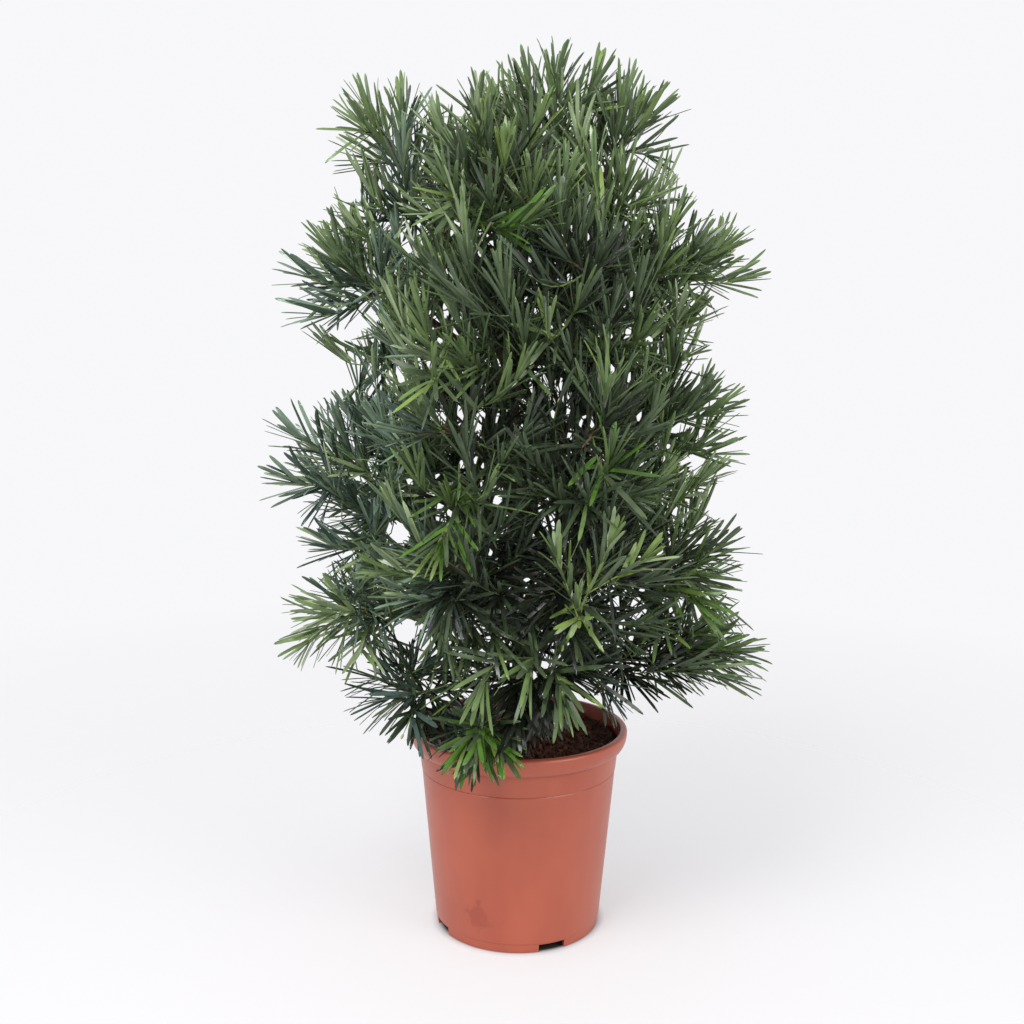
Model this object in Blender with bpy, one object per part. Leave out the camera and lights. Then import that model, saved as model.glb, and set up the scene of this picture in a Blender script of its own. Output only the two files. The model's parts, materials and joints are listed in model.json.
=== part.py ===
"""A podocarpus in a round plastic nursery pot, whole, at its real size.

Lengths are metres. +Z is up, -Y is the front and +X is the right. The origin is on the ground, at
the middle of the pot's underside.

One trunk stands in the soil and runs up through the crown. Boughs leave it all round, and each
carries one mass of foliage that keeps to its own space, an ellipsoid. A mass is a stem, its shoots
and their leaves, grown by one seeded rule. Each leaf here stands for a tuft of the narrow real ones.
"""

import math
import random
from typing import NamedTuple

import bmesh
import bpy
import numpy as np
from mathutils import Matrix, Vector

# Gap between two pieces that rest on or meet each other
GAP = 0.0003

# Meshes: how near two points are one, and the angle from which an edge is sharp
MERGE_DISTANCE = 1e-6
SHARP_FROM = math.radians(35.0)

# Pot: outer radii and heights
POT_SEGMENTS = 36
RIM_RADIUS = 0.135
RIM_TOP = 0.252
LIP_FOOT = 0.228
LIP_ARC_STEPS = 3
LIP_ROLL = 0.004
LIP_ROLL_STEPS = 2
WALL_TOP_RADIUS = 0.1237
CREASE_HEIGHT = 0.203
CREASE_STEP = 0.0008
BASE_RADIUS = 0.1018
FOOT_HEIGHT = 0.0113
FOOT_STEP = 0.0007
WALL = 0.002
MOUTH_RADIUS = 0.1265

# Pot underside: a ring and a middle disc stand on the ground, with a drain channel between them
RING_WIDTH = 0.0045
DISC_RADIUS = 0.070
CHANNEL_ROOF = 0.0108
FLOOR_TOP = 0.0135
DISC_TOP = 0.0025
NOTCHES = 4
NOTCH_WIDTH = 0.034
NOTCH_HEIGHT = 0.0100
NOTCH_DEPTH = 0.024
NOTCH_TURN = math.radians(-66.0)

# Soil
SOIL_HEIGHT = 0.2345
SOIL_EDGE = 0.2310
SOIL_FLAT_RADIUS = 0.030

# Trunk: control points of its centre line, radii at foot and tip, and the flare above the soil
TRUNK_FOOT = Vector((0.003, 0.0, SOIL_HEIGHT + GAP))
TRUNK_LEAN = Vector((-0.002, 0.000, 0.470))
TRUNK_BEND = Vector((-0.028, 0.002, 0.720))
TRUNK_TIP = Vector((0.022, 0.008, 0.9300))
TRUNK_CONTROL = (TRUNK_FOOT, TRUNK_LEAN, TRUNK_BEND, TRUNK_TIP)
TRUNK_RADIUS = 0.0105
TRUNK_TIP_RADIUS = 0.0034
TRUNK_SIDES = 10
TRUNK_RINGS = 13
TRUNK_CROWDING = 1.35
TRUNK_SEARCH_STEPS = 24
FLARE = 0.55
FLARE_HEIGHT = 0.028
FLARE_ROOTS = 5
FLARE_LOBE = 0.16

# Boughs
BOUGH_ROOT_RADIUS = 0.0046
BOUGH_TIP_RADIUS = 0.0028
BOUGH_SIDES = 5
BOUGH_RINGS = 4
BOUGH_ARRIVAL = 0.45

# Stems and shoots inside a mass, whose reaches are shares of the space's size
FOOT_DEPTH = 0.78
STEM_REACH = 0.30
STEM_BEND = 0.5
STEM_SIDES = 4
STEM_RINGS = 4
STEM_TIP_RADIUS = 0.0021
SHOOTS_FULL = 4
SHOOTS_SMALL = 3
SMALL_SPACE = 0.066
SHOOT_REACH = 0.36
SHOOT_SIDES = 3
SHOOT_RADIUS = 0.0025
SHOOT_TIP_RADIUS = 0.0019
SHOOT_FIRST_ANGLE = math.radians(45.0)
SHOOT_LAST_ANGLE = math.radians(140.0)
SHOOT_FIRST_PLACE = 0.86
SHOOT_LAST_PLACE = 0.22
SHOOT_LIMIT = 1.1
GOLDEN_ANGLE = math.pi * (3.0 - math.sqrt(5.0))

# Leaves
LEAVES_ON_SHOOT = (0.25, 0.65, 1.00)
LEAVES_ON_STEM = (0.12, 0.42, 0.72, 1.00)
LEAF_LEAST_SPREAD = math.radians(38.0)
LEAF_MOST_SPREAD = math.radians(82.0)
TIP_LEAF_SPREAD = math.radians(16.0)
LEAF_LONGEST = 0.112
LEAF_SHORTEST = 0.042
LEAF_WIDTH = 0.032
LEAF_THICKNESS = 0.0024
LEAF_WIDEST = 0.38
LEAF_EDGE_SHARE = 0.35
LEAF_SINK = 0.0008
TIP_LEAF_SINK = 0.0030
LENGTH_TRIES = 7
TURN_TRIES = 12
TURN_JITTER = 0.3  # radians
ROLL_JITTER = math.radians(40.0)

# Room between leaves: they may meet near their roots, and their outer parts keep well apart
LEAF_FREE_FROM = 0.25
LEAF_OUTER_FROM = 0.67
LEAVES_APART = 0.013
WIDE_APART = 0.060
NEARBY = 0.26
NEARBY_STRIDE = 3

# Clearances of foliage: to another mass's space (a share of it), to a limb, and to soil and rim
SPACE_MARGIN = 0.045
LIMB_CLEARANCE = 0.0035
POT_CLEARANCE = 0.003
SAMPLE_STEP = 0.005


class Mass(NamedTuple):
    """A mass of foliage: where its space is, how its stem points and where its bough springs."""

    name: str
    turn: float  # degrees round the pot's axis, from +X towards +Y
    reach: float  # from the pot's axis to the middle of the space
    height: float
    half_width: float
    half_height: float
    lift: float  # degrees that the stem points above level
    springs: float  # height at which the bough leaves the trunk


MASSES = (
    Mass("foliage_tip", 31, 0.038, 0.998, 0.088, 0.083, 78, TRUNK_TIP.z),
    Mass("foliage_top_left", 187, 0.160, 0.958, 0.086, 0.080, 56, 0.818),
    Mass("foliage_top_right", 0, 0.116, 0.955, 0.082, 0.090, 60, 0.842),
    Mass("foliage_top_front", 250, 0.098, 0.918, 0.100, 0.098, 50, 0.776),
    Mass("foliage_top_back", 100, 0.110, 0.920, 0.104, 0.098, 50, 0.796),
    Mass("foliage_upper_left", 180, 0.188, 0.798, 0.112, 0.086, 30, 0.652),
    Mass("foliage_upper_right", 0, 0.172, 0.818, 0.114, 0.080, 30, 0.671),
    Mass("foliage_upper_front_left", 240, 0.156, 0.780, 0.112, 0.098, 30, 0.634),
    Mass("foliage_upper_front_right", 297, 0.150, 0.796, 0.112, 0.098, 30, 0.690),
    Mass("foliage_upper_back_left", 122, 0.158, 0.786, 0.118, 0.098, 30, 0.616),
    Mass("foliage_upper_back_right", 60, 0.158, 0.784, 0.118, 0.098, 30, 0.708),
    Mass("foliage_middle_left", 180, 0.196, 0.570, 0.122, 0.102, 20, 0.428),
    Mass("foliage_middle_right", 0, 0.168, 0.640, 0.112, 0.100, 24, 0.492),
    Mass("foliage_middle_front_left", 243, 0.162, 0.628, 0.116, 0.098, 22, 0.472),
    Mass("foliage_middle_front_right", 298, 0.160, 0.628, 0.116, 0.098, 22, 0.534),
    Mass("foliage_middle_back_left", 121, 0.164, 0.626, 0.122, 0.098, 22, 0.452),
    Mass("foliage_middle_back_right", 60, 0.164, 0.632, 0.122, 0.098, 22, 0.514),
    Mass("foliage_lower_left", 188, 0.204, 0.404, 0.104, 0.070, 8, 0.302),
    Mass("foliage_lower_right", 354, 0.176, 0.464, 0.112, 0.080, 18, 0.338),
    Mass("foliage_lower_front_left", 243, 0.162, 0.476, 0.114, 0.094, 14, 0.366),
    Mass("foliage_lower_front_right", 299, 0.164, 0.474, 0.114, 0.094, 14, 0.392),
    Mass("foliage_lower_back_left", 128, 0.168, 0.474, 0.122, 0.094, 14, 0.379),
    Mass("foliage_lower_back_right", 62, 0.168, 0.478, 0.120, 0.094, 14, 0.352),
    Mass("foliage_base_right", 352, 0.196, 0.344, 0.120, 0.062, 2, 0.272),
    Mass("foliage_base_front", 282, 0.128, 0.352, 0.100, 0.074, 4, 0.292),
    Mass("foliage_base_back", 90, 0.158, 0.358, 0.124, 0.076, 6, 0.282),
    Mass("foliage_skirt_left", 203, 0.146, 0.306, 0.080, 0.066, -4, 0.262),
    Mass("foliage_pot_front", 253, 0.154, 0.277, 0.062, 0.052, -14, 0.252),
)

# Colours and roughness
TERRACOTTA = (0.53, 0.155, 0.095)
PEAT = (0.030, 0.017, 0.012)
BARK = (0.125, 0.065, 0.042)
LEAF_GREEN = (0.045, 0.098, 0.034)
PLASTIC_ROUGHNESS = 0.42
PEAT_ROUGHNESS = 0.95
BARK_ROUGHNESS = 0.85
LEAF_ROUGHNESS = 0.45


def clear_scene():
    """Remove whatever the scene holds."""
    for obj in list(bpy.data.objects):
        bpy.data.objects.remove(obj, do_unlink=True)


def finish(obj, colour, roughness):
    """Give an object its own plain finish."""
    material = bpy.data.materials.new(obj.name + "_finish")
    material.use_nodes = True
    shader = material.node_tree.nodes["Principled BSDF"]
    shader.inputs["Base Color"].default_value = (*colour, 1.0)
    shader.inputs["Roughness"].default_value = roughness
    shader.inputs["Metallic"].default_value = 0.0
    material.diffuse_color = (*colour, 1.0)
    obj.data.materials.clear()
    obj.data.materials.append(material)


def object_from(mesh_builder, name, parent=None):
    """Turn a bmesh into a named object with its faces pointing out."""
    bmesh.ops.recalc_face_normals(mesh_builder, faces=mesh_builder.faces)
    mesh = bpy.data.meshes.new(name)
    mesh_builder.to_mesh(mesh)
    mesh_builder.free()
    obj = bpy.data.objects.new(name, mesh)
    bpy.context.scene.collection.objects.link(obj)
    obj.parent = parent
    return obj


def smooth(obj):
    """Shade a round piece smooth, with its real edges kept sharp."""
    obj.data.shade_smooth()
    obj.data.set_sharp_from_angle(angle=SHARP_FROM)


def as_cutter(obj):
    """Keep a shape as a guide for Boolean cuts only."""
    obj.hide_render = True
    obj.display_type = "WIRE"


def cut(obj, cutter):
    """Cut a shape away from an object."""
    modifier = obj.modifiers.new("cut_" + cutter.name, "BOOLEAN")
    modifier.operation = "DIFFERENCE"
    modifier.object = cutter


def turned(profile, name, parent):
    """Spin an outline of (radius, height) points, whose ends are on the Z axis, round that axis."""
    bm = bmesh.new()
    points = [bm.verts.new((radius, 0.0, height)) for radius, height in profile]
    edges = [bm.edges.new(pair) for pair in zip(points, points[1:])]
    bmesh.ops.spin(
        bm,
        geom=points + edges,
        cent=(0.0, 0.0, 0.0),
        axis=(0.0, 0.0, 1.0),
        angle=2.0 * math.pi,
        steps=POT_SEGMENTS,
    )
    bmesh.ops.remove_doubles(bm, verts=bm.verts, dist=MERGE_DISTANCE)
    return object_from(bm, name, parent)


def wall_radius(height):
    """Outer radius of the pot's straight wall at a height, before the crease and foot steps."""
    return BASE_RADIUS + (WALL_TOP_RADIUS - BASE_RADIUS) * height / LIP_FOOT


def lip_outline():
    """Outer side of the lip: a quarter round out from the wall, then a small roll over the top."""
    widest = RIM_TOP - LIP_ROLL
    points = []
    for step in range(1, LIP_ARC_STEPS + 1):
        angle = 0.5 * math.pi * step / LIP_ARC_STEPS
        radius = WALL_TOP_RADIUS + (RIM_RADIUS - WALL_TOP_RADIUS) * math.sin(angle)
        height = widest - (widest - LIP_FOOT) * math.cos(angle)
        points.append((radius, height))
    for step in range(1, LIP_ROLL_STEPS + 1):
        angle = 0.5 * math.pi * step / LIP_ROLL_STEPS
        radius = RIM_RADIUS - LIP_ROLL * (1.0 - math.cos(angle))
        points.append((radius, widest + LIP_ROLL * math.sin(angle)))
    points.append((MOUTH_RADIUS + 0.5 * LIP_ROLL, RIM_TOP))
    points.append((MOUTH_RADIUS, RIM_TOP - 0.5 * LIP_ROLL))
    return points


def inner_radius(height):
    """Inner radius of the pot's wall at a height."""
    return wall_radius(height) - CREASE_STEP - WALL


def pot(parent):
    """The pot: underside, foot ring, wall with its crease, rolled lip, inner wall and floor."""
    ring_inner = BASE_RADIUS - RING_WIDTH
    outline = [
        (0.0, 0.0),
        (DISC_RADIUS, 0.0),
        (DISC_RADIUS + WALL, CHANNEL_ROOF),
        (ring_inner - 0.5 * WALL, CHANNEL_ROOF),
        (ring_inner, 0.0),
        (BASE_RADIUS, 0.0),
        (wall_radius(FOOT_HEIGHT), FOOT_HEIGHT),
        (wall_radius(FOOT_HEIGHT) + FOOT_STEP, FOOT_HEIGHT + FOOT_STEP),
        (wall_radius(CREASE_HEIGHT) - CREASE_STEP, CREASE_HEIGHT - CREASE_STEP),
        (wall_radius(CREASE_HEIGHT), CREASE_HEIGHT + CREASE_STEP),
        (WALL_TOP_RADIUS, LIP_FOOT),
    ]
    outline += lip_outline()
    outline += [
        (inner_radius(LIP_FOOT), LIP_FOOT),
        (inner_radius(FLOOR_TOP), FLOOR_TOP),
        (DISC_RADIUS, FLOOR_TOP),
        (DISC_RADIUS - WALL, DISC_TOP),
        (0.0, DISC_TOP),
    ]
    obj = turned(outline, "pot", parent)
    cut(obj, notch_cutter(parent))
    smooth(obj)
    finish(obj, TERRACOTTA, PLASTIC_ROUGHNESS)


def notch_cutter(parent):
    """Blocks that cut the drain notches through the foot ring."""
    bm = bmesh.new()
    for number in range(NOTCHES):
        turn = NOTCH_TURN + 2.0 * math.pi * number / NOTCHES
        block = bmesh.ops.create_cube(bm, size=1.0)["verts"]
        bmesh.ops.scale(bm, verts=block, vec=(NOTCH_DEPTH, NOTCH_WIDTH, 2.0 * NOTCH_HEIGHT))
        bmesh.ops.translate(bm, verts=block, vec=(BASE_RADIUS, 0.0, 0.0))
        bmesh.ops.rotate(bm, verts=block, cent=(0.0, 0.0, 0.0), matrix=Matrix.Rotation(turn, 3, "Z"))
    obj = object_from(bm, "notch_cutter", parent)
    as_cutter(obj)
    return obj


def soil(parent):
    """The peat that fills the pot, level in the middle where the trunk stands."""
    outline = [
        (0.0, DISC_TOP + GAP),
        (DISC_RADIUS - WALL - GAP, DISC_TOP + GAP),
        (DISC_RADIUS - GAP, FLOOR_TOP + GAP),
        (inner_radius(FLOOR_TOP) - GAP, FLOOR_TOP + GAP),
        (inner_radius(LIP_FOOT) - GAP, LIP_FOOT),
        (inner_radius(LIP_FOOT) - GAP, SOIL_EDGE),
        (SOIL_FLAT_RADIUS, SOIL_HEIGHT),
        (0.0, SOIL_HEIGHT),
    ]
    obj = turned(outline, "soil", parent)
    smooth(obj)
    finish(obj, PEAT, PEAT_ROUGHNESS)


def bezier(points, share):
    """A point on the curve through two ends and one or two control points."""
    while len(points) > 1:
        points = [a.lerp(b, share) for a, b in zip(points, points[1:])]
    return points[0]


def bezier_points(points, count):
    """A number of points along the curve, from end to end."""
    return [bezier(points, step / (count - 1)) for step in range(count)]


def along(points, share):
    """A point part of the way along a chain of points."""
    place = share * (len(points) - 1)
    first = min(int(place), len(points) - 2)
    return points[first].lerp(points[first + 1], place - first)


def blend(first, last, share):
    """A value part of the way from one to another."""
    return first + (last - first) * share


def cross_axes(direction):
    """Two unit vectors square to a direction and to each other, the second as upright as can be."""
    across = direction.cross(Vector((0.0, 0.0, 1.0)))
    if across.length < 1e-3:
        across = Vector((1.0, 0.0, 0.0))
    across.normalize()
    return across, across.cross(direction).normalized()


def tube(name, centres, radii, sides, first_way=None, last_way=None, lobes=None):
    """A tapering limb along its centre points, with flat ends square to its line or to a given way."""
    bm = bmesh.new()
    rings = []
    last = len(centres) - 1
    ways = [centres[min(number + 1, last)] - centres[max(number - 1, 0)] for number in range(last + 1)]
    ways[0] = first_way or ways[0]
    ways[last] = last_way or ways[last]
    across, upward = cross_axes(ways[0].normalized())
    for number, (centre, radius) in enumerate(zip(centres, radii)):
        direction = ways[number].normalized()
        across = (across - direction * across.dot(direction)).normalized()
        upward = across.cross(direction)
        ring = []
        for side in range(sides):
            angle = 2.0 * math.pi * side / sides
            stretch = 1.0
            if lobes:
                stretch += lobes[number] * math.cos(FLARE_ROOTS * angle)
            offset = across * math.cos(angle) + upward * math.sin(angle)
            ring.append(bm.verts.new(centre + offset * (radius * stretch)))
        rings.append(ring)
    for lower, higher in zip(rings, rings[1:]):
        for side in range(sides):
            following = (side + 1) % sides
            bm.faces.new((lower[side], lower[following], higher[following], higher[side]))
    bm.faces.new(rings[0])
    bm.faces.new(rings[-1])
    return object_from(bm, name)


def trunk_line(count):
    """Points up the middle of the trunk, closer together in the flare."""
    shares = [(step / (count - 1)) ** TRUNK_CROWDING for step in range(count)]
    return [bezier(TRUNK_CONTROL, share) for share in shares]


def trunk_radius(height):
    """Radius of the trunk at a height: a steady taper with a flare at the soil."""
    share = (height - TRUNK_FOOT.z) / (TRUNK_TIP.z - TRUNK_FOOT.z)
    taper = blend(TRUNK_RADIUS, TRUNK_TIP_RADIUS, share)
    return taper * (1.0 + FLARE * math.exp(-(height - TRUNK_FOOT.z) / FLARE_HEIGHT))


def trunk_shape(name, extra):
    """The trunk's solid, or the same a little thicker all round."""
    centres = trunk_line(TRUNK_RINGS)
    radii = [trunk_radius(centre.z) + extra for centre in centres]
    lobes = [FLARE_LOBE * math.exp(-(centre.z - TRUNK_FOOT.z) / FLARE_HEIGHT) for centre in centres]
    upright = Vector((0.0, 0.0, 1.0))
    return tube(name, centres, radii, TRUNK_SIDES, upright, heading(MASSES[0]), lobes)


def trunk_at(height):
    """The middle of the trunk at a height."""
    low, high = 0.0, 1.0
    for _ in range(TRUNK_SEARCH_STEPS):
        middle = 0.5 * (low + high)
        if bezier(TRUNK_CONTROL, middle).z < height:
            low = middle
        else:
            high = middle
    return bezier(TRUNK_CONTROL, low)


def space_middle(mass):
    """The middle of a mass's space."""
    turn = math.radians(mass.turn)
    return Vector((mass.reach * math.cos(turn), mass.reach * math.sin(turn), mass.height))


def heading(mass):
    """The way that a mass's stem points."""
    turn = math.radians(mass.turn)
    lift = math.radians(mass.lift)
    level = math.cos(lift)
    return Vector((level * math.cos(turn), level * math.sin(turn), math.sin(lift)))


def space_radius(mass, direction):
    """How far a mass's space reaches from its middle in a direction."""
    wide = math.hypot(direction.x, direction.y) / mass.half_width
    high = direction.z / mass.half_height
    return 1.0 / math.hypot(wide, high)


def stem_foot(mass):
    """Where a mass's stem starts, near the inner edge of its space."""
    way = heading(mass)
    if mass.springs >= TRUNK_TIP.z:
        return TRUNK_TIP + way * GAP
    return space_middle(mass) - way * (FOOT_DEPTH * space_radius(mass, way))


def stem_line(mass):
    """Points along a mass's stem, from its foot past the middle of the space."""
    way = heading(mass)
    foot = stem_foot(mass)
    end = space_middle(mass) + way * (STEM_REACH * space_radius(mass, way))
    bend = foot + way * (STEM_BEND * (end - foot).length)
    return bezier_points((foot, bend, end), STEM_RINGS)


def bough_line(mass):
    """Points along a bough: up and out from the trunk, then on in line with its mass's stem."""
    start = trunk_at(mass.springs)
    way = heading(mass)
    end = stem_foot(mass) - way * GAP
    bend = end - way * (BOUGH_ARRIVAL * (end - start).length)
    return bezier_points((start, bend, end), BOUGH_RINGS)


def bough_radii():
    """Radii along a bough."""
    last = BOUGH_RINGS - 1
    return [blend(BOUGH_ROOT_RADIUS, BOUGH_TIP_RADIUS, ring / last) for ring in range(BOUGH_RINGS)]


def stem_radii():
    """Radii along a mass's stem."""
    last = STEM_RINGS - 1
    return [blend(BOUGH_TIP_RADIUS, STEM_TIP_RADIUS, ring / last) for ring in range(STEM_RINGS)]


def limb_samples(centres, radii):
    """Rows of x, y, z and radius, close together along a limb."""
    rows = []
    for number in range(len(centres) - 1):
        start, end = centres[number], centres[number + 1]
        steps = max(1, math.ceil((end - start).length / SAMPLE_STEP))
        for step in range(steps + 1):
            share = step / steps
            radius = blend(radii[number], radii[number + 1], share)
            rows.append((*start.lerp(end, share), radius))
    return np.array(rows)


def line_samples(start, end):
    """Rows of x, y and z, close together along a straight line."""
    steps = max(2, math.ceil((end - start).length / SAMPLE_STEP))
    return np.array([start.lerp(end, step / steps) for step in range(steps + 1)])


class Room:
    """The room that foliage has: each mass's own space, less every limb, the soil and the pot."""

    def __init__(self):
        self.middles = np.array([space_middle(mass) for mass in MASSES])
        self.sizes = np.array([(mass.half_width, mass.half_width, mass.half_height) for mass in MASSES])
        trunk_centres = trunk_line(TRUNK_RINGS)
        limbs = [limb_samples(trunk_centres, [trunk_radius(centre.z) for centre in trunk_centres])]
        for mass in MASSES:
            if mass.springs < TRUNK_TIP.z:
                limbs.append(limb_samples(bough_line(mass), bough_radii()))
        self.limbs = np.vstack(limbs)
        self.stems = [limb_samples(stem_line(mass), stem_radii()) for mass in MASSES]
        self.leaves = []

    def own_space(self, points, index, limit):
        """Whether all points lie in one mass's space and nearer to it than to any other."""
        shares = np.linalg.norm((points[:, None, :] - self.middles) / self.sizes, axis=2)
        own = shares[:, index].copy()
        shares[:, index] = np.inf
        return bool(np.all(own <= limit) and np.all(own + SPACE_MARGIN < shares.min(axis=1)))

    def clear_of_limbs(self, points, index, half_width):
        """Whether all points clear the trunk, every bough and the other masses' stems."""
        others = [stem for number, stem in enumerate(self.stems) if number != index]
        limbs = np.vstack([self.limbs, *others])
        distances = np.linalg.norm(points[:, None, :] - limbs[:, :3], axis=2)
        return bool(np.all(distances > limbs[:, 3] + half_width + LIMB_CLEARANCE))

    def clear_of_pot(self, points, half_width):
        """Whether all points are above the soil and rim, or outside the rim."""
        radii = np.hypot(points[:, 0], points[:, 1])
        clearance = half_width + POT_CLEARANCE
        outside = radii > RIM_RADIUS + clearance
        floor = np.where(radii < inner_radius(LIP_FOOT) - clearance, SOIL_HEIGHT, RIM_TOP)
        return bool(np.all(outside | (points[:, 2] > floor + clearance)))

    def takes(self, start, end, index, half_width, limit):
        """Whether a straight twig or leaf fits one mass's room."""
        points = line_samples(start, end)
        return (
            self.own_space(points, index, limit)
            and self.clear_of_limbs(points, index, half_width)
            and self.clear_of_pot(points, half_width)
        )


def leaf(name, root, tip, roll_axis):
    """A leaf as a flat eight-faced spindle, pointed at both ends."""
    direction = (tip - root).normalized()
    face = (roll_axis - direction * roll_axis.dot(direction)).normalized()
    side = direction.cross(face)
    widest = root.lerp(tip, LEAF_WIDEST)
    girdle = [
        widest + side * (0.5 * LEAF_WIDTH),
        widest + face * (0.5 * LEAF_THICKNESS),
        widest - side * (0.5 * LEAF_WIDTH),
        widest - face * (0.5 * LEAF_THICKNESS),
    ]
    bm = bmesh.new()
    start = bm.verts.new(root)
    end = bm.verts.new(tip)
    corners = [bm.verts.new(point) for point in girdle]
    for corner, following in zip(corners, corners[1:] + corners[:1]):
        bm.faces.new((start, corner, following))
        bm.faces.new((end, following, corner))
    return object_from(bm, name)


def turned_from(direction, angle, around):
    """A direction turned away from another by an angle, on the side that a second angle gives."""
    across, upward = cross_axes(direction)
    side = across * math.cos(around) + upward * math.sin(around)
    return (direction * math.cos(angle) + side * math.sin(angle)).normalized()


def apart(points, grown):
    """How far points keep off the leaves that a mass already has, up to well apart."""
    if not grown:
        return WIDE_APART
    nearest = np.linalg.norm(points[:, None, :] - np.vstack(grown), axis=2).min()
    return min(float(nearest), WIDE_APART)


def outer_part(root, tip):
    """Samples along a leaf without its root, where leaves may meet."""
    return line_samples(root.lerp(tip, LEAF_FREE_FROM), tip)


def longest_leaf(room, index, root, direction, grown):
    """The tip of the longest leaf that fits along a direction, if any fits."""
    for attempt in range(LENGTH_TRIES):
        length = blend(LEAF_LONGEST, LEAF_SHORTEST, attempt / (LENGTH_TRIES - 1))
        tip = root + direction * length
        if apart(outer_part(root, tip), grown) > LEAVES_APART:
            if room.takes(root, tip, index, LEAF_EDGE_SHARE * LEAF_WIDTH, 1.0):
                return tip
    return None


def best_leaf(room, index, root, shoot_way, first_turn, at_tip, grown, nearby):
    """The tip of the leaf, of a few tried, that is long and stands furthest from all the others."""
    best_tip, best_score = None, 0.0
    for attempt in range(TURN_TRIES):
        spread = blend(LEAF_LEAST_SPREAD, LEAF_MOST_SPREAD, attempt / (TURN_TRIES - 1))
        if at_tip:
            spread = TIP_LEAF_SPREAD
        direction = turned_from(shoot_way, spread, first_turn + GOLDEN_ANGLE * attempt)
        tip = longest_leaf(room, index, root, direction, grown)
        if tip:
            outer_third = line_samples(root.lerp(tip, LEAF_OUTER_FROM), tip)
            score = (tip - root).length * apart(outer_third, nearby + grown)
            if score > best_score:
                best_tip, best_score = tip, score
    return best_tip


def grow_shoots(room, index, first_turn):
    """The two ends of each of a mass's shoots, and the turn that it grows at."""
    mass = MASSES[index]
    way = heading(mass)
    centres = stem_line(mass)
    count = SHOOTS_SMALL if min(mass.half_width, mass.half_height) < SMALL_SPACE else SHOOTS_FULL
    shoots = []
    for number in range(count):
        share = (number + 0.5) / count
        turn = first_turn + GOLDEN_ANGLE * (number + 1)
        outward = turned_from(way, blend(SHOOT_FIRST_ANGLE, SHOOT_LAST_ANGLE, share), turn)
        start = along(centres, blend(SHOOT_FIRST_PLACE, SHOOT_LAST_PLACE, share))
        end = space_middle(mass) + outward * (SHOOT_REACH * space_radius(mass, outward))
        if room.takes(start, end, index, SHOOT_RADIUS, SHOOT_LIMIT):
            shoots.append(([start, end], turn))
    return shoots


def grow_leaves(room, index, twigs, dice):
    """The leaves of a mass, spread over its stem and its shoots."""
    leaves = []
    grown = []
    middle = space_middle(MASSES[index])
    nearby = [
        samples[::NEARBY_STRIDE]
        for number, samples in room.leaves
        if (space_middle(MASSES[number]) - middle).length < NEARBY
    ]
    for centres, first_turn in twigs:
        shares = LEAVES_ON_STEM if len(centres) > 2 else LEAVES_ON_SHOOT
        for place, share in enumerate(shares):
            root = along(centres, share)
            at_tip = share == 1.0
            shoot_way = (centres[-1] - centres[-2]).normalized()
            turn = first_turn + GOLDEN_ANGLE * (place + 1) + dice.uniform(-TURN_JITTER, TURN_JITTER)
            tip = best_leaf(room, index, root, shoot_way, turn, at_tip, grown, nearby)
            if tip:
                direction = (tip - root).normalized()
                roll = turned_from(direction, 0.5 * math.pi, dice.uniform(0.0, 2.0 * math.pi))
                face = shoot_way + roll * math.tan(dice.uniform(0.0, ROLL_JITTER))
                sunk = root - direction * (TIP_LEAF_SINK if at_tip else LEAF_SINK)
                leaves.append(leaf(f"{MASSES[index].name}_leaf_{len(leaves)}", sunk, tip, face))
                grown.append(outer_part(root, tip))
    room.leaves += [(index, samples) for samples in grown]
    return leaves


def grow_mass(room, index, parent):
    """Grow one mass: a stem, shoots that turn round it by the golden angle, and their leaves."""
    mass = MASSES[index]
    dice = random.Random(mass.name)
    stem = tube(mass.name, stem_line(mass), stem_radii(), STEM_SIDES, first_way=heading(mass))
    first_turn = dice.uniform(0.0, 2.0 * math.pi)
    shoots = grow_shoots(room, index, first_turn)
    pieces = [
        tube(f"{mass.name}_shoot_{number}", ends, (SHOOT_RADIUS, SHOOT_TIP_RADIUS), SHOOT_SIDES)
        for number, (ends, _) in enumerate(shoots)
    ]
    leaves = grow_leaves(room, index, [(stem_line(mass), first_turn)] + shoots, dice)
    fuse(stem, pieces + leaves)
    stem.parent = parent
    finish(stem, LEAF_GREEN, LEAF_ROUGHNESS)


def fuse(body, pieces):
    """Join a mass's stem, shoots and leaves into one closed body."""
    group = bpy.data.collections.new(body.name + "_pieces")
    bpy.context.scene.collection.children.link(group)
    for piece in pieces:
        bpy.context.scene.collection.objects.unlink(piece)
        group.objects.link(piece)
    joined = None
    for solver in ("EXACT", "MANIFOLD"):
        modifier = body.modifiers.new("join", "BOOLEAN")
        modifier.operation = "UNION"
        modifier.operand_type = "COLLECTION"
        modifier.collection = group
        modifier.solver = solver
        bpy.context.view_layer.update()
        graph = bpy.context.evaluated_depsgraph_get()
        joined = bpy.data.meshes.new_from_object(body.evaluated_get(graph))
        body.modifiers.remove(modifier)
        keep_main_shell(joined)
        if closed(joined):
            break
    body.data = joined
    for piece in pieces:
        bpy.data.objects.remove(piece, do_unlink=True)
    bpy.data.collections.remove(group)


def keep_main_shell(mesh):
    """Drop loose scraps and the shells of sealed hollows, which fills them."""
    bm = bmesh.new()
    bm.from_mesh(mesh)
    seen = set()
    shells = []
    for seed in bm.verts:
        if seed in seen:
            continue
        seen.add(seed)
        shell = [seed]
        for vertex in shell:
            for edge in vertex.link_edges:
                other = edge.other_vert(vertex)
                if other not in seen:
                    seen.add(other)
                    shell.append(other)
        shells.append(shell)
    shells.sort(key=len)
    for shell in shells[:-1]:
        bmesh.ops.delete(bm, geom=shell, context="VERTS")
    bm.to_mesh(mesh)
    bm.free()


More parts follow.
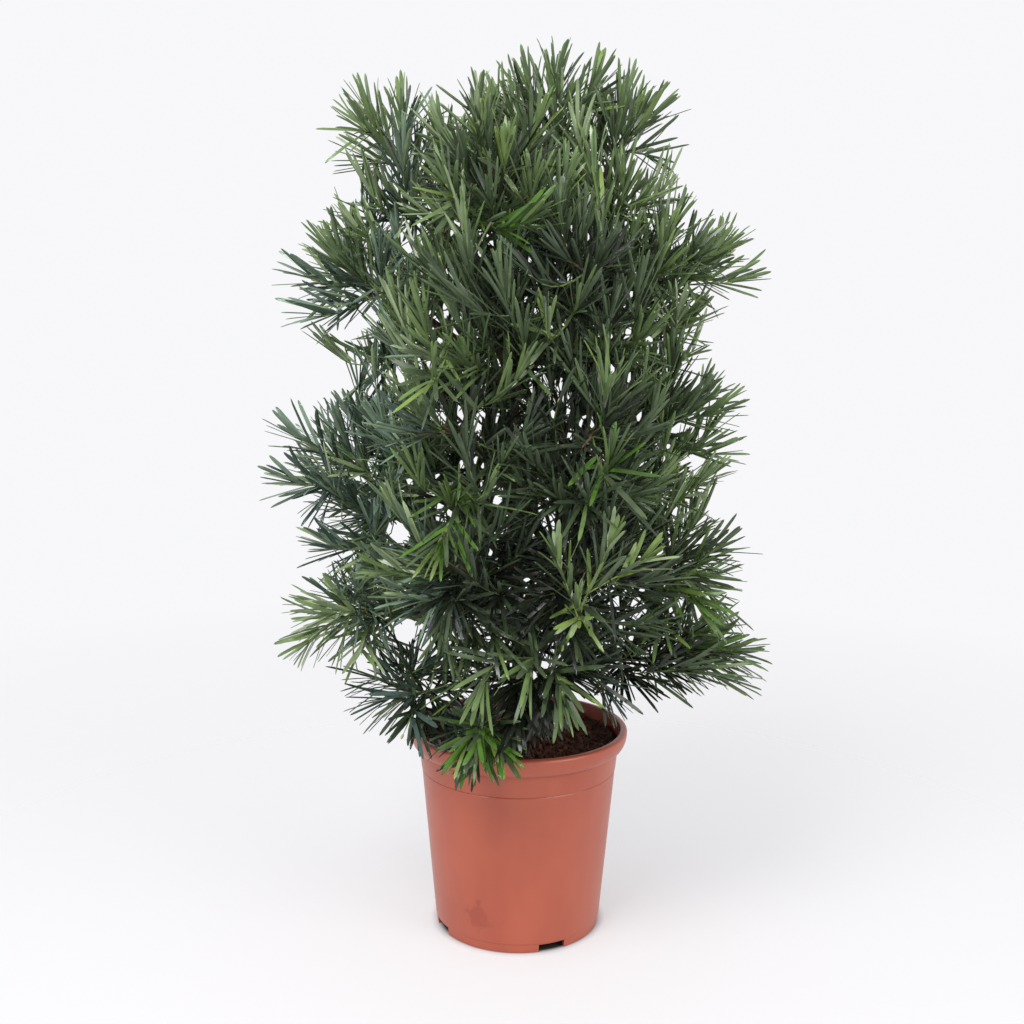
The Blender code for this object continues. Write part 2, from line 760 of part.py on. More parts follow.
def closed(mesh):
    """Whether every edge of a mesh has just two faces."""
    bm = bmesh.new()
    bm.from_mesh(mesh)
    answer = all(edge.is_manifold for edge in bm.edges)
    bm.free()
    return answer


def trunk(parent):
    """The trunk, and the slightly thicker copy that the boughs are cut clear with."""
    obj = trunk_shape("trunk", 0.0)
    obj.parent = parent
    smooth(obj)
    finish(obj, BARK, BARK_ROUGHNESS)
    clearance = trunk_shape("trunk_clearance", GAP)
    clearance.parent = parent
    as_cutter(clearance)
    return clearance


def bough(mass, clearance, parent):
    """The bough that carries a mass, cut clear of the trunk where it springs from it."""
    name = mass.name.replace("foliage", "bough")
    obj = tube(name, bough_line(mass), bough_radii(), BOUGH_SIDES, last_way=heading(mass))
    obj.parent = parent
    cut(obj, clearance)
    smooth(obj)
    finish(obj, BARK, BARK_ROUGHNESS)


def main():
    """Make the pot, the soil, the trunk, the boughs and the masses."""
    clear_scene()
    plant = bpy.data.objects.new("podocarpus", None)
    bpy.context.scene.collection.objects.link(plant)
    pot(plant)
    soil(plant)
    clearance = trunk(plant)
    for mass in MASSES:
        if mass.springs < TRUNK_TIP.z:
            bough(mass, clearance, plant)
    room = Room()
    for index in range(len(MASSES)):
        grow_mass(room, index, plant)


main()
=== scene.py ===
"""Looks of a podocarpus in a round plastic nursery pot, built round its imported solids.

Lengths are metres. +Z is up, -Y is the front and +X is the right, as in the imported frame.

The crown grows by the rule that its solids follow: boughs leave the trunk, and each enters the
space of one mass of foliage, where a stem and its shoots branch. Here the rule goes on to finer
twigs, and narrow leaves of the real size stand on them.
"""

import functools
import json
import math
import random
from typing import NamedTuple

import bmesh
import bpy
import numpy as np
from bpy.props import FloatProperty, FloatVectorProperty, IntProperty, PointerProperty
from mathutils import Matrix, Vector, noise
from mathutils.kdtree import KDTree

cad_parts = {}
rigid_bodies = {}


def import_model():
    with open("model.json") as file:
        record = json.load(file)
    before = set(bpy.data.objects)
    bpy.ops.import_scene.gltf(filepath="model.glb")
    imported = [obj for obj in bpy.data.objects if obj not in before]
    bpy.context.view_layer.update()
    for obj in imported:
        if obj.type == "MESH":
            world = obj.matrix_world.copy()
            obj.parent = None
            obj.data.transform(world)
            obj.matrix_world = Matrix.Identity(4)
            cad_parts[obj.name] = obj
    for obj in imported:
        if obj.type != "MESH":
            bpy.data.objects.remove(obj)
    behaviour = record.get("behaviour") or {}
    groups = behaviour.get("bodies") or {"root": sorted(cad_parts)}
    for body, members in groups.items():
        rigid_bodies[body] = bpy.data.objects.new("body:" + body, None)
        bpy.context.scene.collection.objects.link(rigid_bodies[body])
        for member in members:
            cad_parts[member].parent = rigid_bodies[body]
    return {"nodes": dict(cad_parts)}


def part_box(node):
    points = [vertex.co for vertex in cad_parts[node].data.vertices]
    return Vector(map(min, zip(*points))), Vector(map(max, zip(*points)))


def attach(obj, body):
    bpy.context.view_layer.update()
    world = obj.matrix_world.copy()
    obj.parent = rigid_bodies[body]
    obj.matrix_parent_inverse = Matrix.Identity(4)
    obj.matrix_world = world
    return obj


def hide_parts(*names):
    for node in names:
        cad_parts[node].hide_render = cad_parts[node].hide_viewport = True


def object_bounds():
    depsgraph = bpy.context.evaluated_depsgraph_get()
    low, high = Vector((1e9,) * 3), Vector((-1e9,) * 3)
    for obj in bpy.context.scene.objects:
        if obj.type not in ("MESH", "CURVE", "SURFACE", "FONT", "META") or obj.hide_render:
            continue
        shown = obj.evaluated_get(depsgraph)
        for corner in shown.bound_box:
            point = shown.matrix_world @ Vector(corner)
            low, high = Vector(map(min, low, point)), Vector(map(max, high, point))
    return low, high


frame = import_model()
CAD_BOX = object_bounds()
_, POT_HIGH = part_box("pot")
_, SOIL_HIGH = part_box("soil")
TRUNK_LOW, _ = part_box("trunk")

bl_info = {
    "name": "Podocarpus in a nursery pot",
    "version": (1, 0, 0),
    "blender": (4, 5, 0),
    "location": "3D View > Sidebar > Podocarpus",
    "description": "Builds a potted podocarpus: its pot, soil, bark, twigs and leaves",
    "category": "Object",
}

BODY = "root"
UP = Vector((0.0, 0.0, 1.0))
GOLDEN_ANGLE = math.pi * (3.0 - math.sqrt(5.0))

# Pot: heights and radii that its solid has. The crease is a profile of steps inwards and down.
RIM_RADIUS = POT_HIGH.x
RIM_TOP = POT_HIGH.z
LIP_FOOT = 0.228
LIP_ROLL = 0.004
WALL_TOP_RADIUS = 0.1237
CREASE_HEIGHT = 0.203
CREASE_STEP = 0.0008
CREASE_PROFILE = ((1.0, 3.0), (1.9, 1.6), (0.2, 0.2), (0.0, -1.0))
BASE_RADIUS = 0.1018
FOOT_HEIGHT = 0.0113
FOOT_STEP = 0.0007
WALL = 0.002
MOUTH_RADIUS = 0.1265
BASE_ROUND = 0.0008
RING_WIDTH = 0.0045
RING_ROUND = 0.0005
DISC_RADIUS = 0.070
CHANNEL_ROOF = 0.0108
FLOOR_TOP = 0.0135
DISC_TOP = 0.0025
NOTCHES = 4
NOTCH_WIDTH = 0.034
NOTCH_HEIGHT = 0.0100
NOTCH_DEPTH = 0.024
NOTCH_TURN = math.radians(-66.0)
POT_SEGMENTS = 192
POT_SHARP_ANGLE = math.radians(28.0)
ARC_STEPS = 10

# Plastic: its clouds, its grain, its scuffs, and the smudge low down at the front
PLASTIC_GLOSS = 0.6
CLOUD_SCALE = 16.0
CLOUD_HEIGHT = 0.45
CLOUD_STOPS = ((0.3, (0.92, 0.86, 0.84)), (0.7, (1.06, 1.08, 1.06)))
GRAIN_SCALE = 160.0
GRAIN_HEIGHT = 0.25
GRAIN_BUMP = (0.06, 0.0003)
SCUFF_SCALE = 30.0
SCUFFS = 0.14
SMUDGE_PLACE = Vector((-0.047, -0.094, 0.044))
SMUDGE_COLOUR = (0.80, 0.66, 0.58)
SMUDGE_EDGE = (0.012, 0.018)
SMUDGE_STRENGTH = 0.85
SMUDGE_STRAY = 0.045
SMUDGE_STRAY_SCALE = 95.0

# Soil, with its loose crumbs and fibres
SOIL_HEIGHT = SOIL_HIGH.z
SOIL_EDGE = 0.2310
SOIL_FLAT_RADIUS = 0.030
PEAT_BANK = 0.0105
PEAT_BANK_POWER = 6
PEAT_SINK = 0.0012
PEAT_GAP = 0.0004
PEAT_FLAT_RINGS = 6
PEAT_SLOPE_RINGS = 30
PEAT_SEGMENTS = 160
PEAT_LUMPS = ((60.0, 0.5), (240.0, 0.35))
PEAT_TOP_DEPTH = 0.001
PEAT_STILL_EDGE = 0.0005
CRUMB_SEED = 5
CRUMB_SHAPES = 4
CRUMB_SIZE = 0.0016
CRUMB_LARGEST = 2.2
CRUMB_LONG = (1.0, 2.4)
CRUMB_FLAT = (0.4, 0.9)
CRUMB_ROUGH = (0.65, 1.15)
CRUMB_SHADE = 1.5
CRUMBS_FROM = 0.017
CRUMBS_WALL = 0.006
FIBRE_SEED = 8
FIBRE_POINTS = 5
FIBRE_LENGTH = (0.008, 0.026)
FIBRE_RADIUS = 0.00035
FIBRE_CURL = 0.0035
FIBRE_THICKNESS = (0.7, 1.6)
FIBRE_SIDES = 4
FIBRE_TINGE = (2.6, 2.2, 2.0)

# Trunk: control points of its centre line, radii at foot and tip, and the flare above the soil
TRUNK_FOOT = Vector((0.003, 0.0, TRUNK_LOW.z))
TRUNK_LEAN = Vector((-0.002, 0.000, 0.470))
TRUNK_BEND = Vector((-0.028, 0.002, 0.720))
TRUNK_TIP = Vector((0.022, 0.008, 0.9300))
TRUNK_CONTROL = (TRUNK_FOOT, TRUNK_LEAN, TRUNK_BEND, TRUNK_TIP)
TRUNK_RADIUS = 0.0105
TRUNK_TIP_RADIUS = 0.0034
TRUNK_SEARCH_STEPS = 24
TRUNK_RINGS = 150
TRUNK_SIDES = 28
TRUNK_RELIEF_SCALE = 190.0
TRUNK_SLIMMING = 0.25
FLARE = 0.55
FLARE_HEIGHT = 0.028

# Boughs, and how much height counts in the relief of all limbs
BOUGH_ROOT_RADIUS = 0.0046
BOUGH_TIP_RADIUS = 0.0028
BOUGH_SIDES = 12
BOUGH_RINGS = 22
BOUGH_ARRIVAL = 0.45
BOUGH_RELIEF = 0.0012
BOUGH_RELIEF_SCALE = 260.0
RELIEF_HEIGHT = 0.14

# Stems and shoots inside a mass, whose reaches are shares of the space's size
FOOT_DEPTH = 0.78
STEM_REACH = 0.30
STEM_BEND = 0.5
STEM_TIP_RADIUS = 0.0017
STEM_LEAVES_FROM = 0.55
SHOOTS_FULL = 4
SHOOTS_SMALL = 3
SMALL_SPACE = 0.066
SHOOT_REACH = 0.36
SHOOT_RADIUS = 0.0019
SHOOT_TIP_RADIUS = 0.0013
SHOOT_FIRST_ANGLE = math.radians(45.0)
SHOOT_LAST_ANGLE = math.radians(140.0)
SHOOT_FIRST_PLACE = 0.86
SHOOT_LAST_PLACE = 0.22
SHOOT_LIMIT = 1.1
SHOOT_LEAVES_FROM = 0.30
SHOOT_BEND_PLACE = 0.45
SHOOT_BEND = 0.12
SHOOT_CLEAR_FROM = 0.1
SPACE_MARGIN = 0.045
SPACE_JOIN = 9.0
LIMB_POINTS = 9

# Finer twigs: where on a limb they may root, and what makes one place better than another
TWIG_POINTS = 6
TWIG_ROOTS = tuple(tenth / 10.0 for tenth in range(2, 10))
TWIG_CLEAR_FROM = 0.15
TWIG_FOOT_SHARE = 0.8
TWIG_RADIUS = 0.00125
TWIG_TIP_RADIUS = 0.0008
TWIG_CANDIDATES = 900
CANDIDATE_REACH = 1.25
TWIG_LEAST = 0.018
TWIG_MOST = 0.100
TWIG_TURN_COST = 0.033
TWIG_WANTED = 0.062
TWIG_FOLLOW = 0.25
TWIG_SAG = -0.35
TWIG_RISE_SIDEWAYS = 0.95
TWIG_RISE = 1.60
TWIG_STRAY = 0.70
TWIG_BEND = 0.5
TWIG_DOWN_COST = 0.045
TWIGS_MOST = 90
TIP_TAPER = 0.45
TWIG_RELIEF_SCALE = 400.0
BUD_SEED = 3
BUD_SHARE = 0.15
BUD_SIZE = 0.0036
BUD_SIZES = (0.7, 1.2)
BUD_SLIMNESS = 0.42
BUD_COLOUR = (0.40, 0.42, 0.17)

# Kinds of twig: colour, sides, relief and material slot
TWIG_KINDS = {
    "woody": ((0.105, 0.078, 0.050), 8, 0.0005, "bark"),
    "green": ((0.13, 0.19, 0.045), 6, 0.0, "leaf"),
    "young": ((0.26, 0.33, 0.08), 6, 0.0, "leaf"),
}

# Leaves: their steps along a twig, their angles to it, their sizes, and how far they may reach out
LEAF_ROOM = 0.046
LEAF_FROM = 0.12
LEAF_STEP = 0.0030
SPRAY_STEP = 0.0035
SPRAY_WIDTH = 1.22
TIP_LEAVES = 4
YOUNG_LENGTH = 0.74
YOUNG_STEP = 0.0045
LEAVES_LEAST = 10
LEAF_WIDE_ANGLE = math.radians(43.0)
LEAF_TIP_ANGLE = math.radians(14.0)
LEAF_ANGLE_JITTER = math.radians(11.0)
LEAF_CLOSE_POWER = 1.4
LEAF_LENGTHS = (0.82, 1.12)
LEAF_WIDTHS = (0.76, 1.20)
LEAF_TIP_LENGTH = 0.80
LEAF_TIP_POWER = 3
LEAF_START = 0.004
LEAF_TRIMS = (1.0, 0.88, 0.76, 0.64)
LEAF_LIFT = 0.30
LEAF_DROOP = -0.20
LEAF_LIMIT = 1.04
SPRAY_LIMIT = 1.16
LIFT_FROM = 0.28
LIFT_TO = 0.62
FACE_UP = 0.7
FACE_JITTER = 0.35
UNDER_TINT = (0.13, 0.19, 0.10)
UNDER_SHARE = 0.35

# Clearances of foliage to a limb, and to soil and rim, and the steps at which its room is looked at
LIMB_CLEARANCE = 0.0022
POT_CLEARANCE = 0.0015
SAMPLE_STEP = 0.005
SLOPE_STEP = 0.002


class Mass(NamedTuple):
    """A mass of foliage: where its space is, how its stem points and where its bough springs."""

    name: str
    turn: float  # degrees round the pot's axis, from +X towards +Y
    reach: float  # from the pot's axis to the middle of the space
    height: float
    half_width: float
    half_height: float
    lift: float  # degrees that the stem points above level
    springs: float  # height at which the bough leaves the trunk


# The masses, from the leading tip down
MASSES = (
    Mass("foliage_tip", 31, 0.038, 0.998, 0.088, 0.083, 78, TRUNK_TIP.z),
    Mass("foliage_top_left", 187, 0.160, 0.958, 0.086, 0.080, 56, 0.818),
    Mass("foliage_top_right", 0, 0.116, 0.955, 0.082, 0.090, 60, 0.842),
    Mass("foliage_top_front", 250, 0.098, 0.918, 0.100, 0.098, 50, 0.776),
    Mass("foliage_top_back", 100, 0.110, 0.920, 0.104, 0.098, 50, 0.796),
    Mass("foliage_upper_left", 180, 0.188, 0.798, 0.112, 0.086, 30, 0.652),
    Mass("foliage_upper_right", 0, 0.172, 0.818, 0.114, 0.080, 30, 0.671),
    Mass("foliage_upper_front_left", 240, 0.156, 0.780, 0.112, 0.098, 30, 0.634),
    Mass("foliage_upper_front_right", 297, 0.150, 0.796, 0.112, 0.098, 30, 0.690),
    Mass("foliage_upper_back_left", 122, 0.158, 0.786, 0.118, 0.098, 30, 0.616),
    Mass("foliage_upper_back_right", 60, 0.158, 0.784, 0.118, 0.098, 30, 0.708),
    Mass("foliage_middle_left", 180, 0.196, 0.570, 0.122, 0.102, 20, 0.428),
    Mass("foliage_middle_right", 0, 0.168, 0.640, 0.112, 0.100, 24, 0.492),
    Mass("foliage_middle_front_left", 243, 0.162, 0.628, 0.116, 0.098, 22, 0.472),
    Mass("foliage_middle_front_right", 298, 0.160, 0.628, 0.116, 0.098, 22, 0.534),
    Mass("foliage_middle_back_left", 121, 0.164, 0.626, 0.122, 0.098, 22, 0.452),
    Mass("foliage_middle_back_right", 60, 0.164, 0.632, 0.122, 0.098, 22, 0.514),
    Mass("foliage_lower_left", 188, 0.204, 0.404, 0.104, 0.070, 8, 0.302),
    Mass("foliage_lower_right", 354, 0.176, 0.464, 0.112, 0.080, 18, 0.338),
    Mass("foliage_lower_front_left", 243, 0.162, 0.476, 0.114, 0.094, 14, 0.366),
    Mass("foliage_lower_front_right", 299, 0.164, 0.474, 0.114, 0.094, 14, 0.392),
    Mass("foliage_lower_back_left", 128, 0.168, 0.474, 0.122, 0.094, 14, 0.379),
    Mass("foliage_lower_back_right", 62, 0.168, 0.478, 0.120, 0.094, 14, 0.352),
    Mass("foliage_base_right", 352, 0.196, 0.344, 0.120, 0.062, 2, 0.272),
    Mass("foliage_base_front", 282, 0.128, 0.352, 0.100, 0.074, 4, 0.292),
    Mass("foliage_base_back", 90, 0.158, 0.358, 0.124, 0.076, 6, 0.282),
    Mass("foliage_skirt_left", 203, 0.146, 0.306, 0.080, 0.066, -4, 0.262),
    Mass("foliage_pot_front", 253, 0.154, 0.277, 0.062, 0.052, -14, 0.252),
)
FOLIAGE = tuple(mass.name for mass in MASSES)
BOUGHS = tuple(node for node in frame["nodes"] if node.startswith("bough_"))


class Spray(NamedTuple):
    """A spray that stands out at the front: where its twig ends, how it points, and its tint."""

    x: float
    y: float
    z: float
    turn: float  # degrees round the pot's axis, from +X towards +Y
    lift: float  # degrees above level
    tint: str
    forks: bool = False  # whether its twig leaves another spray's twig of the same tint


# The sprays that stand out, by mass; their tints paint light on outer sprays and shade on those low under
# the crown
SPRAYS = {
    "foliage_tip": (
        Spray(0.037, -0.020, 1.020, 90, 82, "fresh"),
        Spray(0.008, -0.045, 1.004, 200, 72, "fresh"),
        Spray(0.078, -0.020, 1.012, 20, 68, "fresh"),
    ),
    "foliage_top_left": (
        Spray(-0.138, -0.030, 0.976, 170, 76, "fresh"),
        Spray(-0.176, -0.015, 0.962, 185, 48, "fresh"),
    ),
    "foliage_top_right": (
        Spray(0.116, -0.010, 0.996, 30, 66, "fresh"),
        Spray(0.140, -0.030, 0.976, 350, 36, "fresh"),
    ),
    "foliage_top_front": (
        Spray(-0.050, -0.070, 0.990, 200, 84, "young"),
        Spray(-0.048, -0.130, 0.955, 250, 80, "young"),
        Spray(-0.080, -0.150, 0.890, 215, 60, "fresh"),
        Spray(-0.020, -0.160, 0.925, 285, 78, "young"),
        Spray(-0.004, -0.170, 0.850, 320, 20, "grass"),
    ),
    "foliage_upper_left": (
        Spray(-0.240, -0.020, 0.796, 182, 14, "blue"),
        Spray(-0.212, -0.035, 0.820, 178, 44, "fresh"),
        Spray(-0.226, -0.040, 0.756, 184, -8, "blue"),
    ),
    "foliage_upper_right": (
        Spray(0.222, -0.020, 0.826, 0, 30, "fresh"),
        Spray(0.236, -0.035, 0.796, 358, 4, "fresh"),
    ),
    "foliage_upper_front_right": (
        Spray(0.026, -0.200, 0.745, 290, 72, "young"),
    ),
    "foliage_upper_front_left": (
        Spray(-0.096, -0.205, 0.700, 250, 72, "fresh"),
    ),
    "foliage_middle_left": (
        Spray(-0.258, -0.020, 0.606, 180, 24, "blue"),
        Spray(-0.262, -0.050, 0.560, 186, 10, "blue"),
    ),
    "foliage_middle_right": (
        Spray(0.222, -0.030, 0.642, 2, 16, "fresh"),
        Spray(0.216, -0.035, 0.596, 0, 0, "fresh"),
    ),
    "foliage_middle_front_right": (
        Spray(0.091, -0.205, 0.600, 300, 76, "grass"),
    ),
    "foliage_middle_front_left": (
        Spray(-0.084, -0.205, 0.520, 245, -30, "grass"),
    ),
    "foliage_lower_front_right": (
        Spray(0.060, -0.206, 0.446, 285, 78, "young"),
        Spray(0.092, -0.208, 0.516, 320, 66, "young", True),
        Spray(0.038, -0.208, 0.504, 215, 68, "young", True),
        Spray(0.126, -0.204, 0.498, 345, 34, "young", True),
    ),
    "foliage_lower_left": (
        Spray(-0.220, -0.080, 0.410, 192, -12, "pale"),
        Spray(-0.244, -0.085, 0.380, 195, -44, "pale"),
    ),
    "foliage_lower_right": (
        Spray(0.190, -0.095, 0.440, 340, -15, "grass"),
        Spray(0.230, -0.030, 0.478, 2, 20, "middle"),
    ),
    "foliage_base_right": (
        Spray(0.215, -0.055, 0.385, 350, 12, "grass"),
        Spray(0.252, -0.045, 0.360, 354, -8, "grass"),
        Spray(0.210, -0.050, 0.360, 352, -14, "middle"),
    ),
    "foliage_base_front": (
        Spray(0.012, -0.185, 0.372, 275, -68, "fresh"),
        Spray(0.046, -0.180, 0.350, 300, -70, "fresh"),
        Spray(-0.040, -0.185, 0.360, 250, -62, "fresh"),
        Spray(0.096, -0.122, 0.336, 318, -58, "teal"),
        Spray(-0.036, -0.100, 0.318, 235, -50, "deep"),
        Spray(0.020, -0.090, 0.316, 300, -58, "deep"),
    ),
    "foliage_base_back": (
        Spray(-0.060, 0.070, 0.326, 150, -34, "deep"),
        Spray(0.000, 0.080, 0.326, 90, -34, "deep"),
        Spray(0.055, 0.070, 0.328, 40, -30, "deep"),
    ),
    "foliage_skirt_left": (
        Spray(-0.128, -0.120, 0.325, 205, -14, "teal"),
        Spray(-0.132, -0.140, 0.286, 222, -60, "teal"),
    ),
    "foliage_pot_front": (
        Spray(-0.058, -0.172, 0.288, 225, -50, "grass"),
        Spray(-0.022, -0.172, 0.284, 305, -22, "grass"),
        Spray(-0.046, -0.178, 0.294, 262, -40, "grass"),
    ),
}


class Tint(NamedTuple):
    """A tint of leaf, with the label and description of its setting, and the tints that its leaves stray
    to.
    """

    label: str
    description: str
    colour: tuple
    lighter: str
    darker: str


# Tints from deep to pale are steps of painted light and shade: deep and dark paint the shade inside the
# crown, the lighter ones paint light on the outer sprays as well as fresher green, and teal is bluish
# green in painted shade. Young and vivid green are the leaves' own colours.
TINTS = {
    "deep": Tint("Deep leaf", "Darkest inner sprays", (0.016, 0.021, 0.014), "dark", "deep"),
    "dark": Tint("Dark leaf", "Inner sprays", (0.029, 0.043, 0.023), "middle", "deep"),
    "middle": Tint("Common leaf", "Most sprays", (0.062, 0.092, 0.041), "fresh", "dark"),
    "fresh": Tint("Fresh leaf", "Outer sprays", (0.118, 0.182, 0.060), "young", "middle"),
    "pale": Tint("Pale leaf", "Sprays in most light", (0.235, 0.300, 0.155), "fresh", "fresh"),
    # Bluish green with a painted sheen, for lit sprays on the left
    "blue": Tint("Bluish leaf", "Bluish sprays", (0.150, 0.218, 0.158), "pale", "teal"),
    "teal": Tint("Shaded bluish leaf", "Low bluish sprays", (0.040, 0.070, 0.058), "middle", "dark"),
    "young": Tint("Young leaf", "Young yellow-green sprays", (0.155, 0.230, 0.052), "pale", "middle"),
    "grass": Tint("Vivid leaf", "Vivid green sprays", (0.066, 0.145, 0.020), "young", "middle"),
}

# Painted light and shade of the sprays: the painted lightness up to which each tint goes, what a spray's
# place adds to it (lighter at the sides, the top and far out, darker in the middle column, inside and low
# down), and how many of its leaves stray from its tint
TINT_STEPS = ((0.32, "deep"), (0.50, "dark"), (0.74, "middle"), (1.02, "fresh"), (math.inf, "pale"))
LIGHTER_LEAVES = 0.16
DARKER_LEAVES = 0.20
LOW_LEAVES = 0.45
LOW_LEAVES_DARKER = 0.6
# Low masses that get painted shade: dark green, or bluish green in shade
MASS_TINTS = {"foliage_skirt_left": "teal", "foliage_pot_front": "dark"}
LIGHT_LEAST = 0.40
LIGHT_LEFT = 1.06
LIGHT_RIGHT = 0.56
LIGHT_TOP = 0.46
LIGHT_LOW = 0.34
LIGHT_DEPTH = 1.00
LIGHT_DEPTH_FROM = 0.6
LIGHT_STRAY = 0.14
DARK_COLUMN = 0.02
SIDE_REACH = 0.19
SIDE_MOST = 1.2
TOP_FROM = 0.80
TOP_REACH = 0.20
LOW_FROM = 0.56
LOW_REACH = 0.22
BLUE_FROM = -0.10
BLUE_LIGHT = 0.5
BLUE_SHARE = 0.5
TEAL_BELOW = 0.345

# The camera's place, and the openings through the crown that it looks into: how far across and up the
# trunk's upright plane the middle of each is, and its radius
CAMERA_PLACE = Vector((-0.0103, -1.5419, 0.7545))
OPENINGS = (
    (-0.142, 0.370, 0.013),
    (-0.150, 0.495, 0.013),
    (-0.196, 0.330, 0.008),
    (-0.205, 0.905, 0.015),
    (-0.256, 0.712, 0.010),
    (-0.262, 0.682, 0.020),
    (0.198, 0.930, 0.018),
    (0.232, 0.742, 0.015),
    (0.246, 0.536, 0.017),
    (0.252, 0.282, 0.022),
)

# Patches where the crown is thin and small specks of the background show: the middle of each in the
# same plane, its reach, and how many specks it has
THIN_PATCHES = (
    (-0.095, 0.825, 0.060, 10),
    (0.060, 0.785, 0.070, 9),
    (-0.110, 0.720, 0.060, 8),
    (0.120, 0.710, 0.050, 6),
    (-0.045, 0.655, 0.060, 12),
    (-0.080, 0.575, 0.066, 14),
    (0.085, 0.640, 0.060, 9),
    (0.180, 0.600, 0.040, 6),
    (0.020, 0.470, 0.060, 5),
    (0.150, 0.405, 0.055, 8),
    (0.040, 0.345, 0.040, 2),
    (-0.040, 0.360, 0.035, 2),
)
SPECK_SEED = 11
SPECK_RADIUS = (0.0027, 0.0043)


def in_plane(x, z):
    """A point in the trunk's upright plane."""
    return Vector((x, 0.0, z))


def specks():
    """Small openings scattered over the thin patches."""
    dice = random.Random(SPECK_SEED)
    scattered = []
    for x, z, reach, count in THIN_PATCHES:
        for _ in range(count):
            away = pointing(dice.uniform(0.0, 360.0), 0.0) * (reach * math.sqrt(dice.random()))
            middle = in_plane(x, z) + in_plane(away.x, away.y)
            scattered.append((middle, dice.uniform(*SPECK_RADIUS)))
    return scattered


def bezier(points, share):
    """A point on the curve through two ends and one or two control points."""
    while len(points) > 1:
        points = [a.lerp(b, share) for a, b in zip(points, points[1:])]
    return points[0]


def bezier_points(points, count):
    """A number of points along the curve, from end to end."""
    return [bezier(points, step / (count - 1)) for step in range(count)]


def along(points, share):
    """A point part of the way along a chain of points."""
    place = share * (len(points) - 1)
    first = min(int(place), len(points) - 2)
    return points[first].lerp(points[first + 1], place - first)


def way_along(points, share):
    """The direction of a chain of points, part of the way along it."""
    first = min(int(share * (len(points) - 1)), len(points) - 2)
    return (points[first + 1] - points[first]).normalized()


def blend(first, last, share):
    """A value part of the way from one to another."""
    return first + (last - first) * share


def rise(height):
    """How far growth turns upwards at a height: not at all low down, and in full high up."""
    return min(1.0, max(0.0, (height - LIFT_FROM) / (LIFT_TO - LIFT_FROM)))


def cross_axes(direction):
    """Two unit vectors square to a direction and to each other, the second as upright as can be."""
    across = direction.cross(UP)
    if across.length < 1e-3:
        across = Vector((1.0, 0.0, 0.0))
    across.normalize()
    return across, across.cross(direction).normalized()


def turned_from(direction, angle, around):
    """A direction turned away from another by an angle, on the side that a second angle gives."""
    across, upward = cross_axes(direction)
    side = across * math.cos(around) + upward * math.sin(around)
    return (direction * math.cos(angle) + side * math.sin(angle)).normalized()


def trunk_line():
    """Points up the middle of the trunk."""
    return bezier_points(TRUNK_CONTROL, TRUNK_RINGS)


def trunk_radius(height):
    """Radius of the trunk at a height: a steady taper with a flare at the soil."""
    share = (height - TRUNK_FOOT.z) / (TRUNK_TIP.z - TRUNK_FOOT.z)
    taper = blend(TRUNK_RADIUS, TRUNK_TIP_RADIUS, share)
    return taper * (1.0 + FLARE * math.exp(-(height - TRUNK_FOOT.z) / FLARE_HEIGHT))


def trunk_at(height):
    """The middle of the trunk at a height."""
    low, high = 0.0, 1.0
    for _ in range(TRUNK_SEARCH_STEPS):
        middle = 0.5 * (low + high)
        if bezier(TRUNK_CONTROL, middle).z < height:
            low = middle
        else:
            high = middle
    return bezier(TRUNK_CONTROL, low)


def space_middle(mass):
    """The middle of a mass's space."""
    turn = math.radians(mass.turn)
    return Vector((mass.reach * math.cos(turn), mass.reach * math.sin(turn), mass.height))


def pointing(turn, lift):
    """A direction from its turn round the pot's axis and its lift above level, in degrees."""
    turn, lift = math.radians(turn), math.radians(lift)
    level = math.cos(lift)
    return Vector((level * math.cos(turn), level * math.sin(turn), math.sin(lift)))


def heading(mass):
    """The way that a mass's stem points."""
    return pointing(mass.turn, mass.lift)


def space_radius(mass, direction):
    """How far a mass's space reaches from its middle in a direction."""
    wide = math.hypot(direction.x, direction.y) / mass.half_width
    high = direction.z / mass.half_height
    return 1.0 / math.hypot(wide, high)


def on_bough(mass):
    """Whether a mass grows from a bough, and not from the trunk's own tip."""
    return mass.springs < TRUNK_TIP.z


def stem_foot(mass):
    """Where a mass's stem starts, near the inner edge of its space."""
    way = heading(mass)
    if not on_bough(mass):
        return TRUNK_TIP
    return space_middle(mass) - way * (FOOT_DEPTH * space_radius(mass, way))


def stem_line(mass):
    """Points along a mass's stem, from its foot past the middle of the space."""
    way = heading(mass)
    foot = stem_foot(mass)
    end = space_middle(mass) + way * (STEM_REACH * space_radius(mass, way))
    bend = foot + way * (STEM_BEND * (end - foot).length)
    return bezier_points((foot, bend, end), LIMB_POINTS)


def bough_line(mass):
    """Points along a bough: up and out from the trunk, then on in line with its mass's stem."""
    start = trunk_at(mass.springs)
    end = stem_foot(mass)
    bend = end - heading(mass) * (BOUGH_ARRIVAL * (end - start).length)
    return bezier_points((start, bend, end), BOUGH_RINGS)


def bough_radii():
    """Radii along a bough, at the points of its line."""
    shares = (ring / (BOUGH_RINGS - 1) for ring in range(BOUGH_RINGS))
    return [blend(BOUGH_ROOT_RADIUS, BOUGH_TIP_RADIUS, share) for share in shares]


class Twig(NamedTuple):
    """A stem, shoot or twig: its points, its radii, and where its leaves begin."""

    points: list
    foot_radius: float
    tip_radius: float
    leaves_from: float
    mass: int
    tint: str = ""
    stands_out: bool = False


class Leaf(NamedTuple):
    """A leaf: where it is rooted, how it points and faces, its size, bend and tint."""

    root: Vector
    way: Vector
    face: Vector
    length: float
    width: float
    kind: int  # number of its blade
    tint: str


